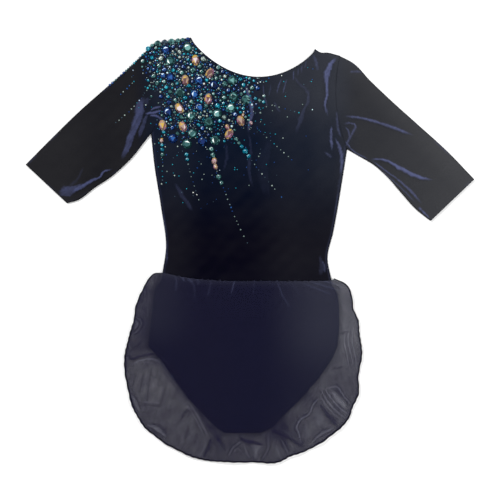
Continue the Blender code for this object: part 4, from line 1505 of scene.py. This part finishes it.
@dataclass
class Spray:
    """The stones over the right shoulder, on pieces of cloth."""

    cloths: list[Obj]
    finish: Material
    centre: Pair = (-100.0, 292.0)
    reach: tuple[Pair, ...] = (
        (-215.0, 52.0), (-180.0, 56.0), (-150.0, 60.0), (-122.0, 66.0), (-112.0, 92.0),
        (-104.0, 124.0), (-90.0, 134.0), (-60.0, 142.0), (-40.0, 134.0), (-15.0, 112.0), (20.0, 60.0),
    )
    large: tuple[tuple[Tint, int, float, float], ...] = (
        (Tint.OPAL, 9, 10.0, 14.5), (Tint.EMERALD, 13, 12.5, 12.5), (Tint.SAPPHIRE, 9, 12.0, 12.0),
    )
    trails: tuple[Trail, ...] = (
        Trail(((-132, 164), (-131, 125), (-132, 92)), 0.3, 3.6),
        Trail(((-98, 162), (-90, 118), (-76, 72)), 0.32, 3.5),
        Trail(((-60, 168), (-53, 130), (-38, 88), (-21, 46), (-4, 10)), 0.42, 4.6),
        Trail(((-34, 184), (-16, 160), (10, 124), (42, 86)), 0.5, 4.1),
        Trail(((-14, 206), (8, 184), (30, 164), (66, 132)), 0.3, 3.0),
        Trail(((-4, 232), (24, 220), (50, 212), (78, 204)), 0.4, 3.6),
        Trail(((-150, 246), (-170, 218), (-206, 186)), 0.1, 2.0),
        Trail(((-174, 252), (-186, 240), (-198, 228)), 0.0),
    )
    shoulder: tuple[Pair, ...] = (
        (-90, 316.5), (-118, 312), (-145, 307), (-165, 288), (-191, 263.5), (-212, 245),
    )
    handfuls: tuple[Handful, ...] = (
        Handful(115, (2.6, 4.4), (
            (Tint.EMERALD, 5), (Tint.SEA, 3), (Tint.SAPPHIRE, 4), (Tint.CLEAR, 1),
        ), 0.92, 0.4),
        Handful(270, (1.5, 2.5), (
            (Tint.SEA, 6), (Tint.SAPPHIRE, 5), (Tint.CLEAR, 2), (Tint.EMERALD, 4), (Tint.NIGHT, 2),
        ), 0.96, 0.3),
        Handful(1150, (0.65, 1.25), (
            (Tint.SEA, 5), (Tint.SAPPHIRE, 6), (Tint.CLEAR, 4), (Tint.NIGHT, 3),
        ), 0.96, 0.2),
    )
    bold_tints: tuple[Tint, ...] = (Tint.EMERALD, Tint.SEA, Tint.OPAL, Tint.SEA, Tint.EMERALD)
    thin_tints: tuple[Tint, ...] = (Tint.CLEAR, Tint.SAPPHIRE, Tint.SEA, Tint.CLEAR, Tint.NIGHT)
    edge_tints: tuple[Tint, ...] = (Tint.EMERALD, Tint.SAPPHIRE, Tint.EMERALD, Tint.SEA, Tint.NIGHT)
    seed: int = 31
    tries: int = 4000
    tries_each: int = 40
    margin: float = 3.0
    large_gap: float = 4.6
    opal_long: float = 1.3
    high: float = 0.34
    sunk: float = 0.1
    least_low: float = 0.3
    # The way to the key light, which the facets' painted light, shade and glints follow.
    light_way: Row = (-0.6, 0.6, 0.5)
    glint_fade_rows: tuple[Row, Row] = ((185, 215, 262), (2.4, 1.5, 0.5))  # y, and how weak the stones' painted glints are there
    clump_size: float = 20.0
    dense: float = 0.58
    fading: float = 0.31
    strays: tuple[Pair, ...] = ((1.45, 0.010), (2.0, 0.003))  # how far out, and their chance
    stones: list[Stone] = field(default_factory=list)

    def share_out(self, x: float, y: float) -> float:
        """How far out a point is in the spray.

        Args:
            x: The point's x.
            y: The point's y.

        Returns:
            0 at its centre and 1 at its edge.
        """
        dx, dy = x - self.centre[0], y - self.centre[1]
        bearing = math.degrees(math.atan2(dy, dx))
        if bearing > self.reach[-1][0]:
            bearing -= 360
        reach = np.interp(bearing, [b for b, _ in self.reach], [r for _, r in self.reach])
        return math.hypot(dx, dy) / float(reach)

    def lay_large(self) -> None:
        """Places the large stones, by the same rule as the solids' raised ones."""
        dice = random.Random(self.seed)
        waiting = [(w / 2, l / 2, tint) for tint, count, w, l in self.large for _ in range(count)]
        for _ in range(self.tries):
            x, y, turn = dice.uniform(-175, 35), dice.uniform(150, 320), dice.uniform(-40, 40)
            if not waiting:
                break
            half, long, tint = waiting[0]
            clear = min(x - CUT.armhole_x(y), (CUT.neck_y(x) - y) * 0.8) - long
            apart = [math.hypot(x - s.x, y - s.y) - long - s.long for s in self.stones]
            near = clear < self.margin or min(apart, default=99) < self.large_gap
            if near or self.share_out(x, y) > 1:
                continue
            self.stones.append(Stone(x, y, half, long, math.radians(turn), tint))
            waiting.pop(0)

    def free(self, x: float, y: float, half: float, gap: float) -> bool:
        """Whether a stone of that size fits between those placed."""
        reach = ((math.hypot(x - s.x, y - s.y), half + s.half * 0.5 + s.long * 0.5) for s in self.stones)
        return all(far > least + gap for far, least in reach)

    def lay_trails(self, dice: random.Random) -> None:
        """Places the trails that leave the spray.

        Args:
            dice: The seeded dice.
        """
        for trail in self.trails:
            line, length = measured(trail.path, 200)
            at = 0.0
            while at < length[-1]:
                share = at / length[-1]
                bold = share < trail.bold
                size, low, high = (trail.first, 0.7, 1.05) if bold else (trail.last, 0.85, 1.3)
                half = size * dice.uniform(low, high)
                gap = 0.8 if bold else trail.gap * (0.35 + share)
                x = float(np.interp(at, length, line[:, 0])) + dice.uniform(-0.5, 0.5)
                y = float(np.interp(at, length, line[:, 1]))
                tint = dice.choice(self.bold_tints if bold else self.thin_tints)
                long = half * (self.opal_long if tint is Tint.OPAL else 1.0)
                if self.free(x, y, half, 0.2):
                    self.stones.append(Stone(x, y, half, long, dice.uniform(-0.6, 0.6), tint))
                at += 2 * half + gap * dice.uniform(0.5, 1.4)

    def scatter(self, dice: random.Random, handful: Handful) -> None:
        """Drops a handful of stones between those that lie there.

        Args:
            dice: The seeded dice.
            handful: The stones.
        """
        left, sizes, spread = handful.count, handful.sizes, handful.spread
        tints = [tint for tint, often in handful.tints for _ in range(often)]
        fall = 0.22 if sizes[1] > 2 else 0.04
        for _ in range(handful.count * self.tries_each):
            if left == 0:
                break
            x, y = dice.uniform(-215, 100), dice.uniform(60, 320)
            out = self.share_out(x, y) * (1 + fall * float(smooth((186 - y) / 26)))
            hill = uneven(np.array([x]), np.array([y]), self.clump_size, self.seed)[0]
            clump = 0.85 + 0.6 * float(hill)
            clump += 0.8 * float(smooth((y - 240) / 30))
            past = max(out - self.dense * spread, 0.0) / (self.fading * spread)
            stray = next((chance for far, chance in self.strays if out < far and sizes[1] < 2), 0.0)
            if dice.random() > max(clump * math.exp(-(past**2)), stray):
                continue
            half = dice.uniform(*sizes)
            if not self.free(x, y, half, handful.gap):
                continue
            tint = dice.choice(tints)
            self.stones.append(Stone(x, y, half, half, dice.uniform(0, 1), tint))
            left -= 1

    def lay_edge(self, dice: random.Random) -> None:
        """Places the stones that wrap over the shoulder and the top of the sleeve.

        Args:
            dice: The seeded dice.
        """
        line, length = measured(self.shoulder, 300)
        at = 3.0
        while at < length[-1]:
            half = dice.uniform(3.0, 4.8) if at / length[-1] < 0.5 else dice.uniform(1.3, 2.4)
            x, y = (float(np.interp(at, length, line[:, k])) for k in (0, 1))
            out = Vector((0.1, 0.5, 0.86)) if x > CUT.shoulder_right[0] else Vector((-0.4, 0.4, 0.82))
            out.normalize()
            low = half * math.sqrt(1 - out.z**2) + 0.5
            tint, turn = dice.choice(self.edge_tints), dice.uniform(-0.5, 0.5)
            self.stones.append(Stone(x, y, half, half, turn, tint, max(3.5, low), tuple(out)))
            at += 2.0 * half + dice.uniform(0.2, 2.0)

    def lay(self) -> None:
        """Places every stone, large ones first."""
        dice = random.Random(self.seed + 1)
        self.lay_large()
        self.lay_edge(dice)
        self.lay_trails(dice)
        for handful in self.handfuls:
            self.scatter(dice, handful)

    def master(self, sides: int, table: float, inset: float) -> tuple[Array, list[tuple[int, ...]]]:
        """Models one stone of width 2 and height 1, with its facets.

        Args:
            sides: How many sides it has.
            table: Its flat top's share of its width.
            inset: How far the top is drawn in for a second row of facets, or 0.

        Returns:
            Its points and its faces.
        """
        bpy.ops.object.select_all(action="DESELECT")
        bpy.ops.mesh.primitive_cone_add(
            vertices=sides, radius1=1, radius2=table, depth=1, location=(0, 0, 0.5)
        )
        obj = bpy.context.object
        bpy.ops.object.transform_apply(location=True)
        for face in obj.data.polygons:
            face.select = face.normal.z > 0.9
        bpy.ops.object.mode_set(mode="EDIT")
        bpy.ops.mesh.select_mode(type="FACE")
        if inset:
            bpy.ops.mesh.inset(thickness=inset, depth=0.12)
        bpy.ops.mesh.select_all(action="SELECT")
        bpy.ops.mesh.quads_convert_to_tris()
        bpy.ops.object.mode_set(mode="OBJECT")
        points = np.array([tuple(v.co) for v in obj.data.vertices])
        points[:, 2] /= points[:, 2].max()
        faces = [tuple(face.vertices) for face in obj.data.polygons]
        bpy.data.objects.remove(obj)
        return points, faces

    def colour(self, dice: random.Random, tint: Tint, place: Pair, glint_strength: float) -> Colour:
        """A facet's colour: a rim in painted shade, lit on the key light's side, a body with painted
        lights in it, and a painted glint towards the key light.

        Args:
            dice: The seeded dice.
            tint: The stone's kind.
            place: The facet's place on the stone, in half widths from its middle.
            glint_strength: How strongly the stone's painted lights and glints show, from 0 to 1, or below
                0 where nothing flashes.

        Returns:
            The colour.
        """
        dark, body, light, flash = tint.value
        out, lit = math.hypot(*place), (place[1] - place[0]) / math.sqrt(2)
        roll = dice.random()
        pearl = 0.2 if tint is Tint.OPAL else 0.0
        if pearl and dice.random() < 0.4:
            body = (body[0], 0.62 * body[1], 1.3 * body[2])
        if glint_strength < 0:
            return light if roll < 0.35 else body if roll < 0.8 else dark
        # The rim: painted light on the key light's side, painted shade elsewhere.
        if out > 0.66:
            if lit > 0.4:
                return light if roll < 0.2 + 1.5 * pearl else body
            return dark if roll < 0.75 - pearl else body if roll < 0.92 else light
        # A painted glint on facets towards the key light; other facets get painted lights at random.
        if 0.14 < lit and out > 0.3 and roll < 0.08 + 0.55 * glint_strength:
            return flash
        if roll < 0.14 + 0.28 * glint_strength + pearl:
            return flash if pearl and roll < 0.3 else light
        return body if roll < 0.8 else dark

    def small_colour(self, tint: Tint, facing: float, glint_strength: float) -> Colour:
        """A facet's colour on a stone too small for its facets to tell apart, with painted light where it
        faces the key light and painted shade where it does not.

        Args:
            tint: The stone's kind.
            facing: How far the facet faces the key light, from -1 to 1.
            glint_strength: How strongly the stone's painted light and glint show, from 0 to 1, or below
                0.

        Returns:
            The colour.
        """
        dark, body, light, flash = tint.value
        pick = body if glint_strength < 0.6 else light if glint_strength < 0.92 else flash
        # Painted shade on facets turned from the key light, painted light on those facing it.
        shade = dark if facing < 0.3 else light
        return tuple(0.7 * a + 0.3 * b for a, b in zip(pick, shade))

    def set_stone(self, stone: Stone, seat: tuple[Row, Vector], shape: Array) -> Array:
        """Sets a stone on its seat, above the surface on which the garment lies.

        Args:
            stone: The stone.
            seat: Its place on the cloth, and the cloth's normal there.
            shape: The points of a stone of width 2 and height 1.

        Returns:
            Its points.
        """
        spot, normal = seat
        lean = np.array(Vector((0, 0, 1)).rotation_difference(normal).to_matrix())
        c, s = math.cos(stone.turn), math.sin(stone.turn)
        turn = np.array([[c, -s, 0], [s, c, 0], [0, 0, 1]])
        size = np.array([stone.half, stone.long, 2 * stone.half * self.high])
        points = (shape * size) @ (lean @ turn).T + np.array(spot) - self.sunk * np.array(normal)
        points[:, 2] += max(0.0, self.least_low - points[:, 2].min())
        return points

    def build(self) -> list[Obj]:
        """Sets every stone on the cloth and joins those of one kind.

        Returns:
            A piece for each kind.
        """
        self.lay()
        cuts = {12: self.master(12, 0.62, 0.2), 8: self.master(8, 0.6, 0.2), 6: self.master(6, 0.55, 0.0)}
        dice = random.Random(self.seed + 2)
        key = np.array(Vector(self.light_way).normalized())
        made = []
        for tint in Tint:
            points, faces, colours = [], [], []
            for stone in (s for s in self.stones if s.tint is tint):
                seat = self.seat(stone)
                if seat is None:
                    continue
                sides = 12 if stone.half > 4.4 else 8 if stone.half > 1.9 else 6
                shape, facets = cuts[sides]
                corners = self.set_stone(stone, seat, shape)
                # Stones lower down get weaker painted glints; those wrapping over the edge get none.
                glint_fade = float(np.interp(stone.y, *self.glint_fade_rows))
                glint_strength = dice.random() ** glint_fade if stone.z is None else -1.0
                start = sum(len(p) for p in points)
                for facet in facets:
                    a, b, c = corners[list(facet)][:3]
                    facing = np.cross(b - a, c - a)
                    facing = facing / max(np.linalg.norm(facing), 1e-9)
                    if sides == 6:
                        pick = self.small_colour(tint, float(facing @ key), glint_strength)
                    else:
                        x, y = (corners[list(facet)].mean(axis=0) - np.array(seat[0]))[:2] / stone.half
                        pick = self.colour(dice, tint, (float(x), float(y)), glint_strength)
                    colours.append((*pick, 1.0))
                    faces.append(tuple(start + i for i in facet))
                points.append(corners)
            made.append(self.join(tint, points, faces, colours))
        return made

    def below(self, x: float, y: float) -> list[tuple[Vector, Vector]]:
        """The places and normals of the cloth straight below a point, one for each piece there."""
        down = [piece.ray_cast((x * MM, y * MM, 0.1), (0, 0, -1)) for piece in self.cloths]
        return [(spot, normal) for hit, spot, normal, _ in down if hit]

    def seat(self, stone: Stone) -> tuple[Row, Vector] | None:
        """Where a stone sits on the cloth.

        Args:
            stone: The stone.

        Returns:
            Its place and the cloth's normal there, or None where there is no cloth all round it.
        """
        if stone.z is not None:
            return (stone.x, stone.y, stone.z), Vector(stone.lean)
        found = [hit for hit in self.below(stone.x, stone.y) if hit[1].z > 0.5]
        if not found:
            return None
        reach = stone.half + 1.0
        for turn in range(6):
            x = stone.x + reach * math.cos(turn * math.pi / 3)
            y = stone.y + reach * math.sin(turn * math.pi / 3)
            if not self.below(x, y):
                return None
        spot, normal = max(found, key=lambda hit: hit[0].z)
        return tuple(spot / MM), normal

    def join(self, tint: Tint, points: list[Array], faces: list, colours: list) -> Obj:
        """Makes one piece of all the stones of a kind.

        Args:
            tint: The kind.
            points: The points of each stone.
            faces: All their facets.
            colours: A colour for each facet.

        Returns:
            The piece.
        """
        name = f"stones_{tint.name.lower()}"
        mesh = bpy.data.meshes.new(name)
        mesh.from_pydata((np.concatenate(points) * MM).tolist(), [], faces)
        layer = mesh.attributes.new("facet", "FLOAT_COLOR", "FACE")
        layer.data.foreach_set("color", np.array(colours, float).ravel())
        mesh.materials.append(self.finish)
        obj = placed(name, mesh)
        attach(obj, "root")
        LOG.info("%s: %d stones", name, len(points))
        return obj


@dataclass
class Studio:
    """A pale floor, soft light and a camera straight above."""

    floor_wide: float = 8.0
    floor_low: float = 0.0004
    camera_high: float = 1.5
    view_wide: float = 0.75
    sensor_wide: float = 36.0
    world: float = 0.62
    lamps: tuple[tuple[str, Row, float, float], ...] = (  # name, place, size and power
        ("key", (-0.95, 1.0, 1.35), 0.55, 24.0), ("fill", (1.3, -0.2, 1.1), 0.9, 14.0),
    )

    def floor(self) -> None:
        """Lays the floor."""
        bpy.ops.object.select_all(action="DESELECT")
        bpy.ops.mesh.primitive_plane_add(size=self.floor_wide, location=(0, 0, -self.floor_low))
        floor = bpy.context.object
        floor.name = "floor"
        floor.data.materials.append(Floor().material())

    def light(self, name: str, place: Row, size: float, power: float) -> None:
        """Hangs a soft light that faces the garment.

        Args:
            name: Its name.
            place: Where it hangs, in metres.
            size: Its width in metres.
            power: Its power in watts.
        """
        lamp = bpy.data.lights.new(name, "AREA")
        lamp.size = size
        lamp.energy = power
        obj = placed(name, lamp)
        obj.location = place
        obj.rotation_euler = (-Vector(place)).to_track_quat("-Z", "Y").to_euler()

    def build(self) -> None:
        """Sets up the floor, lights, world and camera."""
        self.floor()
        for lamp in self.lamps:
            self.light(*lamp)
        world = bpy.data.worlds.new("studio")
        world.use_nodes = True
        sky = world.node_tree.nodes["Background"].inputs
        sky["Color"].default_value = (1, 1, 1, 1)
        sky["Strength"].default_value = self.world
        bpy.context.scene.world = world
        camera = bpy.data.cameras.new("camera")
        camera.sensor_width = self.sensor_wide
        camera.lens = self.sensor_wide * self.camera_high / self.view_wide
        obj = placed("camera", camera)
        obj.location = (0, 0, self.camera_high)
        bpy.context.scene.camera = obj
        bpy.context.scene.view_settings.view_transform = "Standard"


def main() -> None:
    """Builds the garment, its stones and the studio, and reports each piece."""
    logging.basicConfig(level=logging.INFO, format="%(message)s")
    velvet, knit, net = Velvet().material(), Knit().material(), Net().material()
    thread, glass = HemThread().material(), CutGlass().material()
    tone, folds, pleats = VelvetTone(), CreaseField(VELVET_FOLDS), CreaseField(PLEATS)
    bodice, skirt = Bodice(folds, tone, velvet), Skirt(pleats, net, thread)
    back = bodice.back()
    dressed = [
        bodice.front(),
        Sleeve("sleeve_right", SLEEVE_RIGHT, 0.9, folds, tone, velvet).build(),
        Sleeve("sleeve_left", SLEEVE_LEFT, -0.9, folds, tone, velvet).build(),
    ]
    made = [back, *dressed, *skirt.back()]
    made.append(Brief("knit_back", "brief_back", 2.2, 0.0, "net_back", knit).build())
    made.append(Brief("knit_front", "brief_front", 3.5, 5.0, "knit_back", knit).build())
    made += skirt.front()
    made += Spray(dressed, glass).build()
    for piece in made:
        LOG.info("%s: %d faces", piece.name, len(piece.data.polygons))
    Studio().build()


if __name__ == "__main__":
    main()
